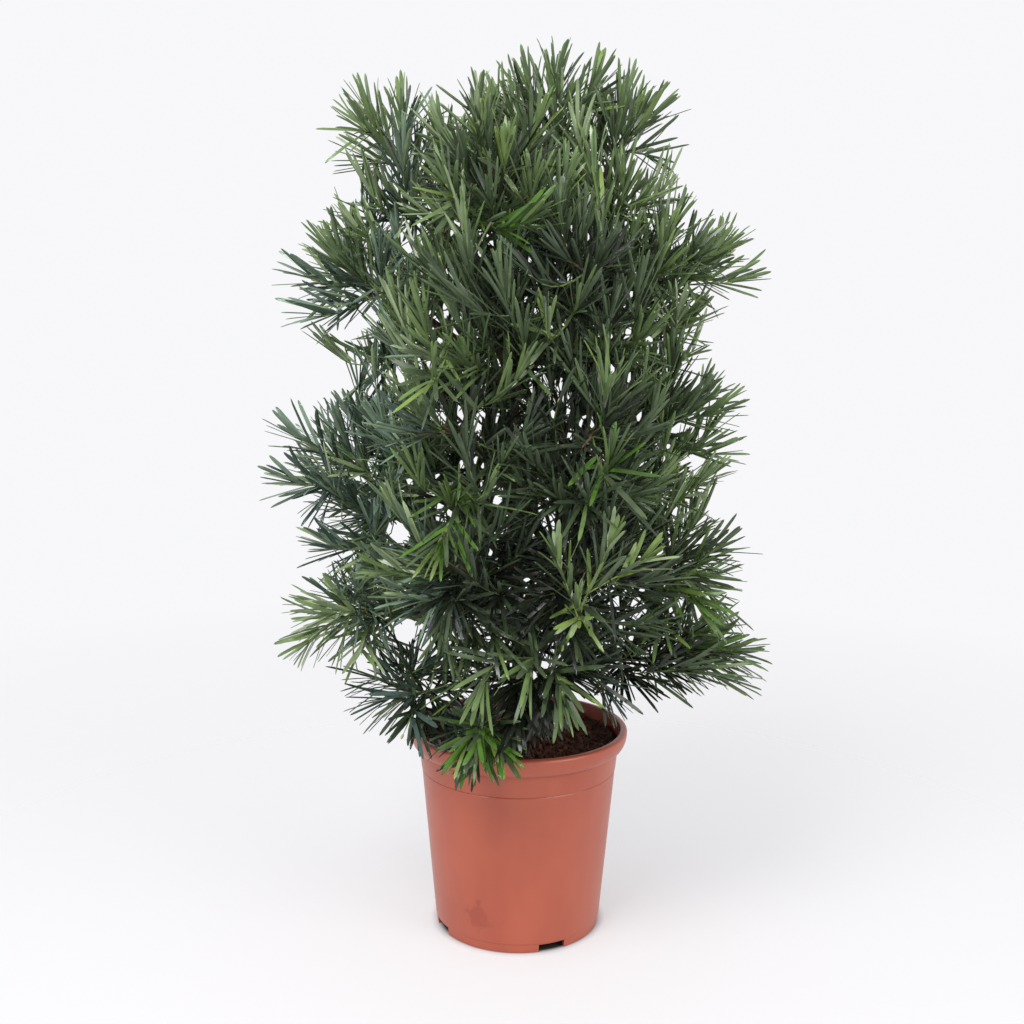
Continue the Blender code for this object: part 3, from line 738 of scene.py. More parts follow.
class Room:
    """The room that foliage has: each mass's own space, less the limbs, the soil and the pot."""

    def __init__(self):
        self.middles = np.array([space_middle(mass) for mass in MASSES])
        self.sizes = np.array([(mass.half_width, mass.half_width, mass.half_height) for mass in MASSES])
        samples = [(centre, trunk_radius(centre.z)) for centre in trunk_line()]
        for mass in filter(on_bough, MASSES):
            samples += zip(bough_line(mass), bough_radii())
        self.radii = [radius for _, radius in samples]
        self.limbs = KDTree(len(samples))
        for number, (centre, _) in enumerate(samples):
            self.limbs.insert(centre, number)
        self.limbs.balance()
        openings = [(in_plane(x, z), radius) for x, z, radius in OPENINGS] + specks()
        self.opening_middles = np.array([middle for middle, _ in openings])
        self.opening_radii = np.array([radius for _, radius in openings])

    def shares(self, points):
        """How far out each point is in each mass's space, as a share of its size."""
        return np.linalg.norm((points[:, None, :] - self.middles) / self.sizes, axis=2)

    def depth(self, points):
        """How far out points are in the crown that all the spaces join into, as a share."""
        nearness = np.exp(-SPACE_JOIN * self.shares(points)).sum(axis=1)
        return -np.log(nearness) / SPACE_JOIN

    def roomy(self, points):
        """Whether points have enough of the crown on their outer side for leaves to stand in."""
        steps = np.eye(3) * SLOPE_STEP
        slopes = np.array([self.depth(points + step) - self.depth(points - step) for step in steps]).T
        outward = slopes / np.maximum(np.linalg.norm(slopes, axis=1, keepdims=True), 1e-9)
        return self.depth(points + outward * LEAF_ROOM) <= 1.0

    def own_space(self, points, index):
        """Whether points lie in one mass's space, or just past it, and well nearer than to any other."""
        shares = self.shares(points)
        own = shares[:, index].copy()
        shares[:, index] = np.inf
        return (own <= SHOOT_LIMIT) & (own + SPACE_MARGIN < shares.min(axis=1))

    def clear(self, point):
        """Whether a point clears the trunk and boughs, the soil and the pot."""
        _, number, distance = self.limbs.find(point)
        if distance < self.radii[number] + LIMB_CLEARANCE:
            return False
        radius = math.hypot(point.x, point.y)
        if radius > RIM_RADIUS + POT_CLEARANCE:
            return True
        floor = SOIL_HEIGHT if radius < WALL_TOP_RADIUS - WALL - POT_CLEARANCE else RIM_TOP
        return point.z > floor + POT_CLEARANCE

    def in_opening(self, *line):
        """Whether the camera sees a point or any of a straight line inside an opening."""
        seen = [np.array(CAMERA_PLACE.lerp(at, CAMERA_PLACE.y / (CAMERA_PLACE.y - at.y))) for at in line]
        span = seen[-1] - seen[0]
        shares = (self.opening_middles - seen[0]) @ span / max(span @ span, 1e-12)
        nearest = seen[0] + np.clip(shares, 0.0, 1.0)[:, None] * span
        away = np.linalg.norm(self.opening_middles - nearest, axis=1)
        return bool((away < self.opening_radii).any())

    def clear_line(self, start, end):
        """Whether a straight line clears them all."""
        steps = max(2, math.ceil((end - start).length / SAMPLE_STEP))
        return all(self.clear(start.lerp(end, step / steps)) for step in range(1, steps + 1))


class Crown:
    """Every twig and leaf, grown mass by mass by one seeded rule."""

    def __init__(self, leaf_length, leaf_width, tuft_spacing):
        self.leaf_length = leaf_length
        self.leaf_width = leaf_width
        self.tuft_spacing = tuft_spacing
        self.room = Room()
        self.twigs = []
        self.leaves = []
        self.tufts = []
        for index in range(len(MASSES)):
            self.grow_mass(index)

    def grow_mass(self, index):
        """Grow one mass: its stem, its shoots by the golden angle, its twigs and their leaves."""
        mass = MASSES[index]
        dice = random.Random(mass.name)
        first_turn = dice.uniform(0.0, 2.0 * math.pi)
        stem = stem_line(mass)
        limbs = [Twig(stem, BOUGH_TIP_RADIUS, STEM_TIP_RADIUS, STEM_LEAVES_FROM, index)]
        limbs += self.shoots(index, stem, first_turn)
        limbs += self.sprays(index, limbs)
        self.tufts += [limb.points[-1] for limb in limbs]
        kept = []
        for limb in limbs:
            leaves = self.leaves_of(limb, dice)
            if limb is limbs[0] or len(leaves) >= LEAVES_LEAST:
                self.leaves += leaves
                kept.append(limb)
        self.twigs += kept + self.fill(index, kept, dice)

    def shoots(self, index, stem, first_turn):
        """The shoots that leave a mass's stem, from its outer part to its foot."""
        mass = MASSES[index]
        way = heading(mass)
        count = SHOOTS_SMALL if min(mass.half_width, mass.half_height) < SMALL_SPACE else SHOOTS_FULL
        shoots = []
        for number in range(count):
            share = (number + 0.5) / count
            turn = first_turn + GOLDEN_ANGLE * (number + 1)
            outward = turned_from(way, blend(SHOOT_FIRST_ANGLE, SHOOT_LAST_ANGLE, share), turn)
            place = blend(SHOOT_FIRST_PLACE, SHOOT_LAST_PLACE, share)
            start = along(stem, place)
            end = space_middle(mass) + outward * (SHOOT_REACH * space_radius(mass, outward))
            points = np.array(bezier_points((start, end), LIMB_POINTS))
            inside = self.room.own_space(points, index)
            if inside.all() and self.room.clear_line(start.lerp(end, SHOOT_CLEAR_FROM), end):
                lead = way_along(stem, place) * (SHOOT_BEND * (end - start).length)
                bend = start.lerp(end, SHOOT_BEND_PLACE) + lead
                line = bezier_points((start, bend, end), LIMB_POINTS)
                shoots.append(Twig(line, SHOOT_RADIUS, SHOOT_TIP_RADIUS, SHOOT_LEAVES_FROM, index))
        return shoots

    def sprays(self, index, limbs):
        """A mass's sprays that stand out at the front."""
        grown = []
        for spray in SPRAYS.get(MASSES[index].name, ()):
            tip = Vector((spray.x, spray.y, spray.z))
            alike = [twig for twig in grown if twig.tint == spray.tint]
            roots = alike if spray.forks else limbs + grown
            twig = self.twig_to(tip, roots, index, pointing(spray.turn, spray.lift))
            if not twig:
                raise RuntimeError(f"no limb reaches the spray at {tuple(tip)}")
            grown.append(twig._replace(tint=spray.tint, stands_out=True))
        return grown

    def candidates(self, index, dice):
        """Places in a mass's share of the crown, far enough in for leaves to stand round them."""
        places = []
        for _ in range(TWIG_CANDIDATES):
            direction = Vector((dice.gauss(0.0, 1.0), dice.gauss(0.0, 1.0), dice.gauss(0.0, 1.0)))
            direction.normalize()
            depth = CANDIDATE_REACH * dice.uniform(0.0, 1.0) ** (1.0 / 3.0)
            places.append(np.array(direction) * self.room.sizes[index] * depth + self.room.middles[index])
        places = np.array(places)
        own = self.room.shares(places).argmin(axis=1) == index
        places = places[own & self.room.roomy(places)]
        places = [Vector(place) for place in places]
        return [place for place in places if self.room.clear(place) and not self.room.in_opening(place)]

    def fill(self, index, limbs, dice):
        """Twigs to wherever a mass is most open, until no wide opening is left."""
        places = self.candidates(index, dice)
        if not places:
            return []
        spots = np.array(places)
        gaps = np.full(len(places), np.inf)
        for tuft in self.tufts:
            gaps = np.minimum(gaps, np.linalg.norm(spots - np.array(tuft), axis=1))
        twigs = []
        while len(twigs) < TWIGS_MOST:
            widest = int(gaps.argmax())
            if gaps[widest] < self.tuft_spacing:
                break
            twig = self.twig_to(places[widest], limbs + twigs, index, dice=dice)
            leaves = self.leaves_of(twig, dice) if twig else []
            if len(leaves) >= LEAVES_LEAST:
                self.leaves += leaves
                twigs.append(twig)
                self.tufts.append(places[widest])
                gaps = np.minimum(gaps, np.linalg.norm(spots - spots[widest], axis=1))
            gaps[widest] = 0.0
        return twigs

    def natural_way(self, reach, index, height, dice):
        """The way that a twig points at its tip: on outwards, more upright high up, and astray."""
        outward = reach.normalized()
        full = blend(TWIG_RISE, TWIG_RISE_SIDEWAYS, abs(outward.x))
        upward = UP * blend(TWIG_SAG, full, rise(height))
        stray = Vector((dice.uniform(-1.0, 1.0), dice.uniform(-1.0, 1.0), 0.0)) * TWIG_STRAY
        return (outward + heading(MASSES[index]) * TWIG_FOLLOW + upward + stray).normalized()

    def twig_to(self, tip, limbs, index, way=None, dice=None):
        """A twig from the best-placed limb to a tip, which it reaches in a given or natural way."""
        best, best_cost = None, math.inf
        for limb in limbs:
            for share in TWIG_ROOTS:
                root = along(limb.points, share)
                reach = tip - root
                if TWIG_LEAST < reach.length < TWIG_MOST:
                    turn = 1.0 - way_along(limb.points, share).dot(reach.normalized())
                    down = max(0.0, -reach.z / reach.length) * rise(tip.z)
                    cost = abs(reach.length - TWIG_WANTED) + TWIG_TURN_COST * turn + TWIG_DOWN_COST * down
                    start = root.lerp(tip, TWIG_CLEAR_FROM)
                    if cost < best_cost and self.room.clear_line(start, tip):
                        best, best_cost = (limb, share, root), cost
        if not best:
            return None
        limb, share, root = best
        reach = tip - root
        if not way:
            way = self.natural_way(reach, index, tip.z, dice)
        points = bezier_points((root, tip - way * (TWIG_BEND * reach.length), tip), TWIG_POINTS)
        foot = min(TWIG_RADIUS, TWIG_FOOT_SHARE * blend(limb.foot_radius, limb.tip_radius, share))
        return Twig(points, foot, TWIG_TIP_RADIUS, LEAF_FROM, index)

    def leaves_of(self, twig, dice):
        """Leaves in a spiral along a twig, closing to a tuft at its tip."""
        leaves = []
        tint = self.tint_of(twig, dice)
        length = sum((b - a).length for a, b in zip(twig.points, twig.points[1:]))
        young = tint == "young"
        step = YOUNG_STEP if young else SPRAY_STEP if twig.stands_out else LEAF_STEP
        count = int(length * (1.0 - twig.leaves_from) / step)
        total = count + TIP_LEAVES
        limit = SPRAY_LIMIT if twig.stands_out else LEAF_LIMIT
        turn = dice.uniform(0.0, 2.0 * math.pi)
        for number in range(total):
            turn += GOLDEN_ANGLE
            outer = number / (total - 1)
            share = min(1.0, blend(twig.leaves_from, 1.0, number / max(1, count)))
            way = way_along(twig.points, share)
            spread = blend(LEAF_WIDE_ANGLE, LEAF_TIP_ANGLE, outer ** LEAF_CLOSE_POWER)
            spread += dice.uniform(-LEAF_ANGLE_JITTER, LEAF_ANGLE_JITTER)
            upward = UP * blend(LEAF_DROOP, LEAF_LIFT, rise(twig.points[-1].z))
            direction = (turned_from(way, spread, turn) + upward).normalized()
            root = along(twig.points, share)
            size = self.leaf_length * dice.uniform(*LEAF_LENGTHS)
            size *= blend(1.0, LEAF_TIP_LENGTH, outer ** LEAF_TIP_POWER)
            size *= YOUNG_LENGTH if young else 1.0
            fit = self.trimmed(root, direction, size, limit)
            if not fit:
                continue
            face = way - direction * direction.dot(way) + (UP - direction * direction.z) * FACE_UP
            face += cross_axes(direction)[0] * dice.uniform(-FACE_JITTER, FACE_JITTER)
            face = (face - direction * face.dot(direction)).normalized()
            kind = dice.randrange(len(BLADE_BENDS))
            width = self.leaf_width * dice.uniform(*LEAF_WIDTHS)
            width *= SPRAY_WIDTH if twig.stands_out else 1.0
            own = self.strayed(tint, outer, dice)
            leaves.append(Leaf(root, direction, face, fit, width, kind, own))
        return leaves

    def trimmed(self, root, direction, length, limit):
        """The length that a leaf can have inside the crown, or none."""
        start = root + direction * LEAF_START
        for trim in LEAF_TRIMS:
            tip = root + direction * (length * trim)
            inside = all(low <= at <= high for low, at, high in zip(CAD_BOX[0], tip, CAD_BOX[1]))
            if not inside or self.room.depth(np.array([tip]))[0] > limit:
                continue
            if not self.room.in_opening(root, tip) and self.room.clear_line(start, tip):
                return length * trim
        return None

    def strayed(self, tint, outer, dice):
        """One leaf's tint: its spray's, or a step from it, and mostly darker low on the twig."""
        if outer < LOW_LEAVES and dice.random() < LOW_LEAVES_DARKER:
            return TINTS[tint].darker
        fate = dice.random()
        if fate < LIGHTER_LEAVES:
            return TINTS[tint].lighter
        return TINTS[tint].darker if fate > 1.0 - DARKER_LEAVES else tint

    def tint_of(self, twig, dice):
        """The tint of a spray as painted light and shade: light at the sides and top, dark inside and
        low, often bluish with painted sheen on the left.
        """
        given = twig.tint or MASS_TINTS.get(MASSES[twig.mass].name)
        if given:
            return given
        tip = twig.points[-1]
        # Painted light and shade: the spray's lightness from where it stands in the crown
        side = min(SIDE_MOST, ((tip.x - DARK_COLUMN) / SIDE_REACH) ** 2)
        top = max(0.0, (tip.z - TOP_FROM) / TOP_REACH)
        low = min(1.0, max(0.0, (LOW_FROM - tip.z) / LOW_REACH))
        if tip.x < DARK_COLUMN:
            low *= max(0.0, 1.0 - side)
        depth = self.room.depth(np.array([tip]))[0]
        light = LIGHT_LEAST + (LIGHT_LEFT if tip.x < DARK_COLUMN else LIGHT_RIGHT) * side
        light += LIGHT_TOP * top + LIGHT_DEPTH * (depth - LIGHT_DEPTH_FROM) - LIGHT_LOW * low
        light += dice.uniform(-LIGHT_STRAY, LIGHT_STRAY)
        # On the left: bluish green in painted shade low down, and often bluish green with a painted sheen
        # higher up
        if tip.x < BLUE_FROM and tip.z < TEAL_BELOW:
            return "teal"
        if tip.x < BLUE_FROM and light > BLUE_LIGHT and dice.random() < BLUE_SHARE:
            return "blue"
        return next(tint for limit, tint in TINT_STEPS if light < limit)


@functools.lru_cache(maxsize=1)
def grown_crown(leaf_length, leaf_width, tuft_spacing):
    """The crown for a set of sizes, grown once."""
    return Crown(leaf_length, leaf_width, tuft_spacing)


def crown_now():
    """The crown for the sizes in the scene's settings."""
    sizes = bpy.context.scene.podocarpus.crown
    return grown_crown(sizes.leaf_length, sizes.leaf_width, sizes.tuft_spacing)


def linked(name, data):
    """A new object in the scene."""
    obj = bpy.data.objects.new(name, data)
    bpy.context.scene.collection.objects.link(obj)
    return obj


def object_from(bm, name):
    """Turn a bmesh into a named object."""
    mesh = bpy.data.meshes.new(name)
    bm.to_mesh(mesh)
    bm.free()
    return linked(name, mesh)


def seat(obj, slot, *nodes):
    """Let a finished piece ride on the plant's body and stand for its solids."""
    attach(obj, BODY)
    if nodes:
        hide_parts(*nodes)


def new_material(name, roughness, gloss=0.5):
    """A material with a Principled shader, and the shader."""
    material = bpy.data.materials.new(name)
    material.use_nodes = True
    shader = material.node_tree.nodes["Principled BSDF"]
    shader.inputs["Roughness"].default_value = roughness
    shader.inputs["Specular IOR Level"].default_value = gloss
    return material, shader


class Nodes:
    """Short ways to add and join nodes in a node tree."""

    def __init__(self, tree):
        self.tree = tree

    def feed(self, node, key, value):
        """Give an input a value, or another node's output."""
        if isinstance(value, bpy.types.NodeSocket):
            self.tree.links.new(value, node.inputs[key])
        else:
            node.inputs[key].default_value = value

    def add(self, kind, inputs=None, **settings):
        """A node with its settings, whose inputs are values or other nodes' outputs."""
        node = self.tree.nodes.new(kind)
        for key, value in settings.items():
            setattr(node, key, value)
        for key, value in (inputs or {}).items():
            self.feed(node, key, value)
        return node

    def made(self, kind, inputs=None, **settings):
        """A new node's first output."""
        return self.add(kind, inputs, **settings).outputs[0]

    def place(self):
        """A point's place on its own object."""
        return self.add("ShaderNodeTexCoord").outputs["Object"]

    def noise(self, vector, scale, detail, roughness=0.55):
        """Fractal noise from about nought to one."""
        inputs = {"Vector": vector, "Scale": scale, "Detail": detail, "Roughness": roughness}
        return self.made("ShaderNodeTexNoise", inputs)

    def drawn_out(self, vector, share):
        """A place of which the height counts in part, so that a noise on it runs up and down."""
        return self.made("ShaderNodeVectorMath", {0: vector, 1: (1.0, 1.0, share)}, operation="MULTIPLY")

    def math(self, operation, *terms):
        """One sum of up to three numbers."""
        return self.made("ShaderNodeMath", dict(enumerate(terms)), operation=operation)

    def ramp(self, factor, stops):
        """A colour ramp through (place, colour) stops."""
        node = self.add("ShaderNodeValToRGB", {"Fac": factor})
        elements = node.color_ramp.elements
        for place, colour in stops[2:]:
            elements.new(place)
        for element, (place, colour) in zip(elements, stops):
            element.position = place
            element.color = (*colour, 1.0)
        return node.outputs[0]

    def mix_colour(self, under, over, share):
        """One colour laid over another."""
        node = self.add("ShaderNodeMix", data_type="RGBA")
        keys = {socket.identifier: number for number, socket in enumerate(node.inputs)}
        for key, value in (("Factor_Float", share), ("A_Color", under), ("B_Color", over)):
            self.feed(node, keys[key], value)
        return next(socket for socket in node.outputs if socket.identifier == "Result_Color")

    def bump(self, height, strength, distance):
        """A normal from a height."""
        inputs = {"Height": height, "Strength": strength, "Distance": distance}
        return self.made("ShaderNodeBump", inputs)


def shaded(colour, factor):
    """A colour made lighter or darker."""
    return tuple(min(1.0, channel * factor) for channel in colour)


def tinged(colour, factors):
    """A colour with each of its channels made stronger or weaker."""
    return tuple(min(1.0, channel * factor) for channel, factor in zip(colour, factors))


def moulded_plastic(colour, roughness):
    """Satin plastic, a little cloudy, with a smudge low down at the front."""
    material, shader = new_material("terracotta_plastic", roughness, PLASTIC_GLOSS)
    nodes = Nodes(material.node_tree)
    place = nodes.place()
    clouds = nodes.noise(nodes.drawn_out(place, CLOUD_HEIGHT), CLOUD_SCALE, 3.0)
    base = nodes.ramp(clouds, [(at, tinged(colour, factors)) for at, factors in CLOUD_STOPS])
    away = nodes.add("ShaderNodeVectorMath", {0: place, 1: SMUDGE_PLACE}, operation="DISTANCE")
    wisps = nodes.noise(place, SMUDGE_STRAY_SCALE, 3.0)
    stray = nodes.math("MULTIPLY_ADD", wisps, SMUDGE_STRAY, -0.5 * SMUDGE_STRAY)
    distance = nodes.math("ADD", away.outputs["Value"], stray)
    inner, outer = SMUDGE_EDGE
    smudge = nodes.ramp(distance, [(inner, (SMUDGE_STRENGTH,) * 3), (outer, (0.0,) * 3)])
    marked = nodes.mix_colour(base, (*tinged(colour, SMUDGE_COLOUR), 1.0), smudge)
    scuffs = nodes.math("MULTIPLY", nodes.noise(place, SCUFF_SCALE, 4.0), SCUFFS)
    grain = nodes.noise(nodes.drawn_out(place, GRAIN_HEIGHT), GRAIN_SCALE, 3.0)
    nodes.feed(shader, "Base Color", marked)
    nodes.feed(shader, "Roughness", nodes.math("ADD", scuffs, roughness - 0.5 * SCUFFS))
    nodes.feed(shader, "Normal", nodes.bump(grain, *GRAIN_BUMP))
    return material


class Finish(NamedTuple):
    """A grown or crumbly surface, whose colour and relief follow a fractal noise."""

    roughness: float
    gloss: float
    noise: tuple  # scale, detail and roughness
    stops: tuple  # places in the noise, and how strong the colour is at each
    height: float = 1.0  # how much height counts, below one where the noise runs up and down
    bump: tuple = ()  # strength and depth


PEAT = Finish(0.9, 0.25, (140.0, 5.0, 0.65), ((0.32, 0.45), (0.52, 1.0), (0.72, 2.1)), bump=(0.5, 0.002))
BARK = Finish(0.85, 0.3, (420.0, 4.0, 0.6), ((0.35, 0.45), (0.5, 1.0), (0.68, 1.7)), 0.16, (0.4, 0.0008))
TWIG = Finish(0.6, 0.4, (90.0, 3.0), ((0.35, 0.7), (0.65, 1.25)))
LEAF_UPPER = Finish(0.24, 0.42, (55.0, 2.0), ((0.3, 0.78), (0.7, 1.22)))
LEAF_UNDER = LEAF_UPPER._replace(roughness=0.55)


def grown_material(name, finish, colour):
    """A material with a finish in one colour."""
    material, shader = new_material(name, finish.roughness, finish.gloss)
    nodes = Nodes(material.node_tree)
    patches = nodes.noise(nodes.drawn_out(nodes.place(), finish.height), *finish.noise)
    stops = [(at, shaded(colour, strength)) for at, strength in finish.stops]
    nodes.feed(shader, "Base Color", nodes.ramp(patches, stops))
    if finish.bump:
        nodes.feed(shader, "Normal", nodes.bump(patches, *finish.bump))
    return material


def new_tree(name, *inputs):
    """An empty Geometry Nodes tree with geometry in and out, and other named inputs."""
    tree = bpy.data.node_groups.new(name, "GeometryNodeTree")
    tree.interface.new_socket("Geometry", in_out="INPUT", socket_type="NodeSocketGeometry")
    tree.interface.new_socket("Geometry", in_out="OUTPUT", socket_type="NodeSocketGeometry")
    for label, kind in inputs:
        tree.interface.new_socket(label, in_out="INPUT", socket_type="NodeSocket" + kind)
    nodes = Nodes(tree)
    return tree, nodes, nodes.add("NodeGroupInput").outputs


def named(nodes, name, kind):
    """A named attribute's value."""
    node = nodes.add("GeometryNodeInputNamedAttribute", {"Name": name}, data_type=kind)
    return next(output for output in node.outputs if output.enabled and output.name == "Attribute")


@functools.cache
def limb_skin():
    """Tree: a tube of round section along chains of points, with relief that runs along it."""
    inputs = (("Sides", "Int"), ("Relief", "Float"), ("Relief scale", "Float"), ("Skin", "Material"))
    tree, nodes, given = new_tree("limb_skin", *inputs)
    curve = nodes.made("GeometryNodeMeshToCurve", {"Mesh": given["Geometry"]})
    circle = nodes.made("GeometryNodeCurvePrimitiveCircle", {"Resolution": given["Sides"], "Radius": 1.0})
    section = {"Curve": curve, "Profile Curve": circle, "Fill Caps": True}
    section["Scale"] = named(nodes, "radius", "FLOAT")
    tube = nodes.made("GeometryNodeCurveToMesh", section)
    place = nodes.made("GeometryNodeInputPosition")
    ridges = nodes.noise(nodes.drawn_out(place, RELIEF_HEIGHT), given["Relief scale"], 3.0)
    height = nodes.math("MULTIPLY", nodes.math("SUBTRACT", ridges, 0.5), given["Relief"])
    normal = nodes.made("GeometryNodeInputNormal")
    offset = nodes.made("ShaderNodeVectorMath", {0: normal, "Scale": height}, operation="SCALE")
    moved = nodes.made("GeometryNodeSetPosition", {"Geometry": tube, "Offset": offset})
    smooth = nodes.made("GeometryNodeSetShadeSmooth", {"Geometry": moved})
    real = nodes.made("GeometryNodeRealizeInstances", {"Geometry": smooth})
    skinned = nodes.made("GeometryNodeSetMaterial", {"Geometry": real, "Material": given["Skin"]})
    nodes.add("NodeGroupOutput", {0: skinned})
    return tree


@functools.cache
def dealt_shapes():
    """Tree: one of a few shapes at each point, turned and sized as the point says."""
    inputs = (("Shapes", "Collection"), ("Upper", "Material"), ("Under", "Material"))
    tree, nodes, given = new_tree("dealt_shapes", *inputs)
    held = {"Collection": given["Shapes"], "Separate Children": True, "Reset Children": True}
    places = {
        "Points": given["Geometry"],
        "Instance": nodes.made("GeometryNodeCollectionInfo", held),
        "Pick Instance": True,
        "Instance Index": named(nodes, "kind", "INT"),
        "Rotation": named(nodes, "turn", "QUATERNION"),
        "Scale": named(nodes, "size", "FLOAT_VECTOR"),
    }
    placed = nodes.made("GeometryNodeInstanceOnPoints", places)
    real = nodes.made("GeometryNodeRealizeInstances", {"Geometry": placed})
    upper = nodes.made("GeometryNodeSetMaterial", {"Geometry": real, "Material": given["Upper"]})
    lower = {"Geometry": upper, "Selection": named(nodes, "under", "BOOLEAN"), "Material": given["Under"]}
    nodes.add("NodeGroupOutput", {0: nodes.made("GeometryNodeSetMaterial", lower)})
    return tree


def made_by(tree, mesh, name, inputs):
    """A plain mesh object that a tree makes from a mesh of points or edges."""
    holder = linked(name + "_rule", mesh)
    modifier = holder.modifiers.new("rule", "NODES")
    modifier.node_group = tree
    sockets = {item.name: item for item in tree.interface.items_tree if item.in_out == "INPUT"}
    for key, value in inputs.items():
        modifier[sockets[key].identifier] = value
    graph = bpy.context.evaluated_depsgraph_get()
    made = bpy.data.meshes.new_from_object(holder.evaluated_get(graph))
    made.name = name
    holder.modifiers.remove(modifier)
    bpy.data.objects.remove(holder)
    return linked(name, made)


def tubes(name, chains, sides, relief, relief_scale, skin):
    """A piece made of tubes along chains of (points, radii)."""
    places, edges, radii = [], [], []
    for points, sizes in chains:
        first = len(places)
        places += [tuple(point) for point in points]
        radii += list(sizes)
        edges += [(first + step, first + step + 1) for step in range(len(points) - 1)]
    mesh = bpy.data.meshes.new(name + "_chains")
    mesh.from_pydata(places, edges, [])
    mesh.attributes.new("radius", "FLOAT", "POINT").data.foreach_set("value", radii)
    inputs = {"Sides": sides, "Relief": relief, "Relief scale": relief_scale, "Skin": skin}
    return made_by(limb_skin(), mesh, name, inputs)


def dealt(name, rows, shapes, upper, under):
    """A piece made of shapes dealt out by rows of (place, turn, size, kind of shape)."""
    places, turns, sizes, kinds = zip(*rows)
    mesh = bpy.data.meshes.new(name + "_points")
    mesh.from_pydata([tuple(place) for place in places], [], [])
    flat_turns = [part for turn in turns for part in turn]
    flat_sizes = [part for size in sizes for part in size]
    mesh.attributes.new("turn", "QUATERNION", "POINT").data.foreach_set("value", flat_turns)
    mesh.attributes.new("size", "FLOAT_VECTOR", "POINT").data.foreach_set("vector", flat_sizes)
    mesh.attributes.new("kind", "INT", "POINT").data.foreach_set("value", kinds)
    return made_by(dealt_shapes(), mesh, name, {"Shapes": shapes, "Upper": upper, "Under": under})


# Leaf blades of unit length: half widths along them, the rise of their ridge, keel and folded edges,
# and the arch, sideways bend and twist of each kind
BLADE_OUTLINE = ((0.0, 0.24), (0.14, 0.86), (0.50, 1.0), (0.86, 0.84), (0.96, 0.50))
BLADE_WIDTH = 0.1
BLADE_RIDGE = 0.008
BLADE_KEEL = 0.006
BLADE_FOLD = 0.010
BLADE_BENDS = (
    (0.00, 0.00, 0.0),
    (0.04, 0.03, 0.2),
    (0.08, -0.03, -0.2),
    (-0.04, 0.02, 0.1),
    (0.03, -0.05, 0.3),
    (0.11, 0.04, -0.3),
)


def blade(name, arch, sickle, twist):
    """A leaf along +X with its ridged upper side to +Z, arched down, bent sideways and twisted."""
    bm = bmesh.new()
    under = bm.faces.layers.bool.new("under")
    rings = []
    for share, half_width in BLADE_OUTLINE:
        centre = Vector((share, sickle * share * share, -arch * share * share))
        roll = Matrix.Rotation(twist * share, 3, "X")
        outline = (
            Vector((0.0, 0.5 * BLADE_WIDTH * half_width, BLADE_FOLD * half_width)),
            Vector((0.0, 0.0, BLADE_RIDGE)),
            Vector((0.0, -0.5 * BLADE_WIDTH * half_width, BLADE_FOLD * half_width)),
            Vector((0.0, 0.0, -BLADE_KEEL)),
        )
        rings.append([bm.verts.new(centre + roll @ corner) for corner in outline])
    tip = bm.verts.new((1.0, sickle, -arch))
    for side in range(4):
        beside = (side + 1) % 4
        for lower, higher in zip(rings, rings[1:]):
            face = bm.faces.new((lower[side], higher[side], higher[beside], lower[beside]))
            face[under] = side >= 2
            face.smooth = True
        face = bm.faces.new((rings[-1][side], tip, rings[-1][beside]))
        face[under] = side >= 2
        face.smooth = True
    bm.faces.new(rings[0])
    bmesh.ops.recalc_face_normals(bm, faces=bm.faces)
    for lower, higher in zip(rings, rings[1:]):
        for side in range(4):
            bm.edges.get((lower[side], higher[side])).smooth = False
    return object_from(bm, name)


def shape_set(name, shapes):
    """A collection that holds a few shapes for a tree to pick from."""
    group = bpy.data.collections.new(name)
    for shape in shapes:
        bpy.context.scene.collection.objects.unlink(shape)
        group.objects.link(shape)
    return group


def drop_shapes(group):
    """Remove a collection of shapes and the shapes."""
    for shape in list(group.objects):
        bpy.data.objects.remove(shape)
    bpy.data.collections.remove(group)


class PotSettings(bpy.types.PropertyGroup):
    """Finish of the pot."""

    colour: FloatVectorProperty(
        name="Colour",
        description="Colour of the moulded plastic",
        subtype="COLOR",
        min=0.0,
        max=1.0,
        default=(0.388, 0.082, 0.042),
    )
    roughness: FloatProperty(
        name="Roughness",
        description="Roughness of the moulded plastic",
        subtype="FACTOR",
        min=0.0,
        max=1.0,
        default=0.34,
    )


class SoilSettings(bpy.types.PropertyGroup):
    """Peat in the pot."""

    colour: FloatVectorProperty(
        name="Colour",
        description="Colour of the moist peat",
        subtype="COLOR",
        min=0.0,
        max=1.0,
        default=(0.058, 0.024, 0.014),
    )
    relief: FloatProperty(
        name="Relief",
        description="Height of the peat's bumps",
        unit="LENGTH",
        default=0.006,
    )
    crumbs: IntProperty(name="Crumbs", description="Number of loose crumbs", default=900)
    fibres: IntProperty(name="Fibres", description="Number of loose fibres", default=160)


class BarkSettings(bpy.types.PropertyGroup):
    """Bark of the trunk and boughs."""

    colour: FloatVectorProperty(
        name="Colour",
        description="Colour of the bark",
        subtype="COLOR",
        min=0.0,
        max=1.0,
        default=(0.110, 0.062, 0.044),
    )
    relief: FloatProperty(
        name="Relief",
        description="Height of the ridges on the trunk",
        unit="LENGTH",
        default=0.0022,
    )


class CrownSettings(bpy.types.PropertyGroup):
    """Twigs and leaves."""

    leaf_length: FloatProperty(
        name="Leaf length", description="Length of a full leaf", unit="LENGTH", default=0.066
    )
    leaf_width: FloatProperty(
        name="Leaf width", description="Width of a full leaf", unit="LENGTH", default=0.0043
    )
    tuft_spacing: FloatProperty(
        name="Spray spacing",
        description="Widest gap that is left between the tips of two sprays",
        unit="LENGTH",
        default=0.0345,
    )


class TintSettings(bpy.types.PropertyGroup):
    """Tints of the leaves."""

    __annotations__ = {
        name: FloatVectorProperty(
            name=tint.label,
            description=tint.description,
            subtype="COLOR",
            min=0.0,
            max=1.0,
            default=tint.colour,
        )
        for name, tint in TINTS.items()
    }


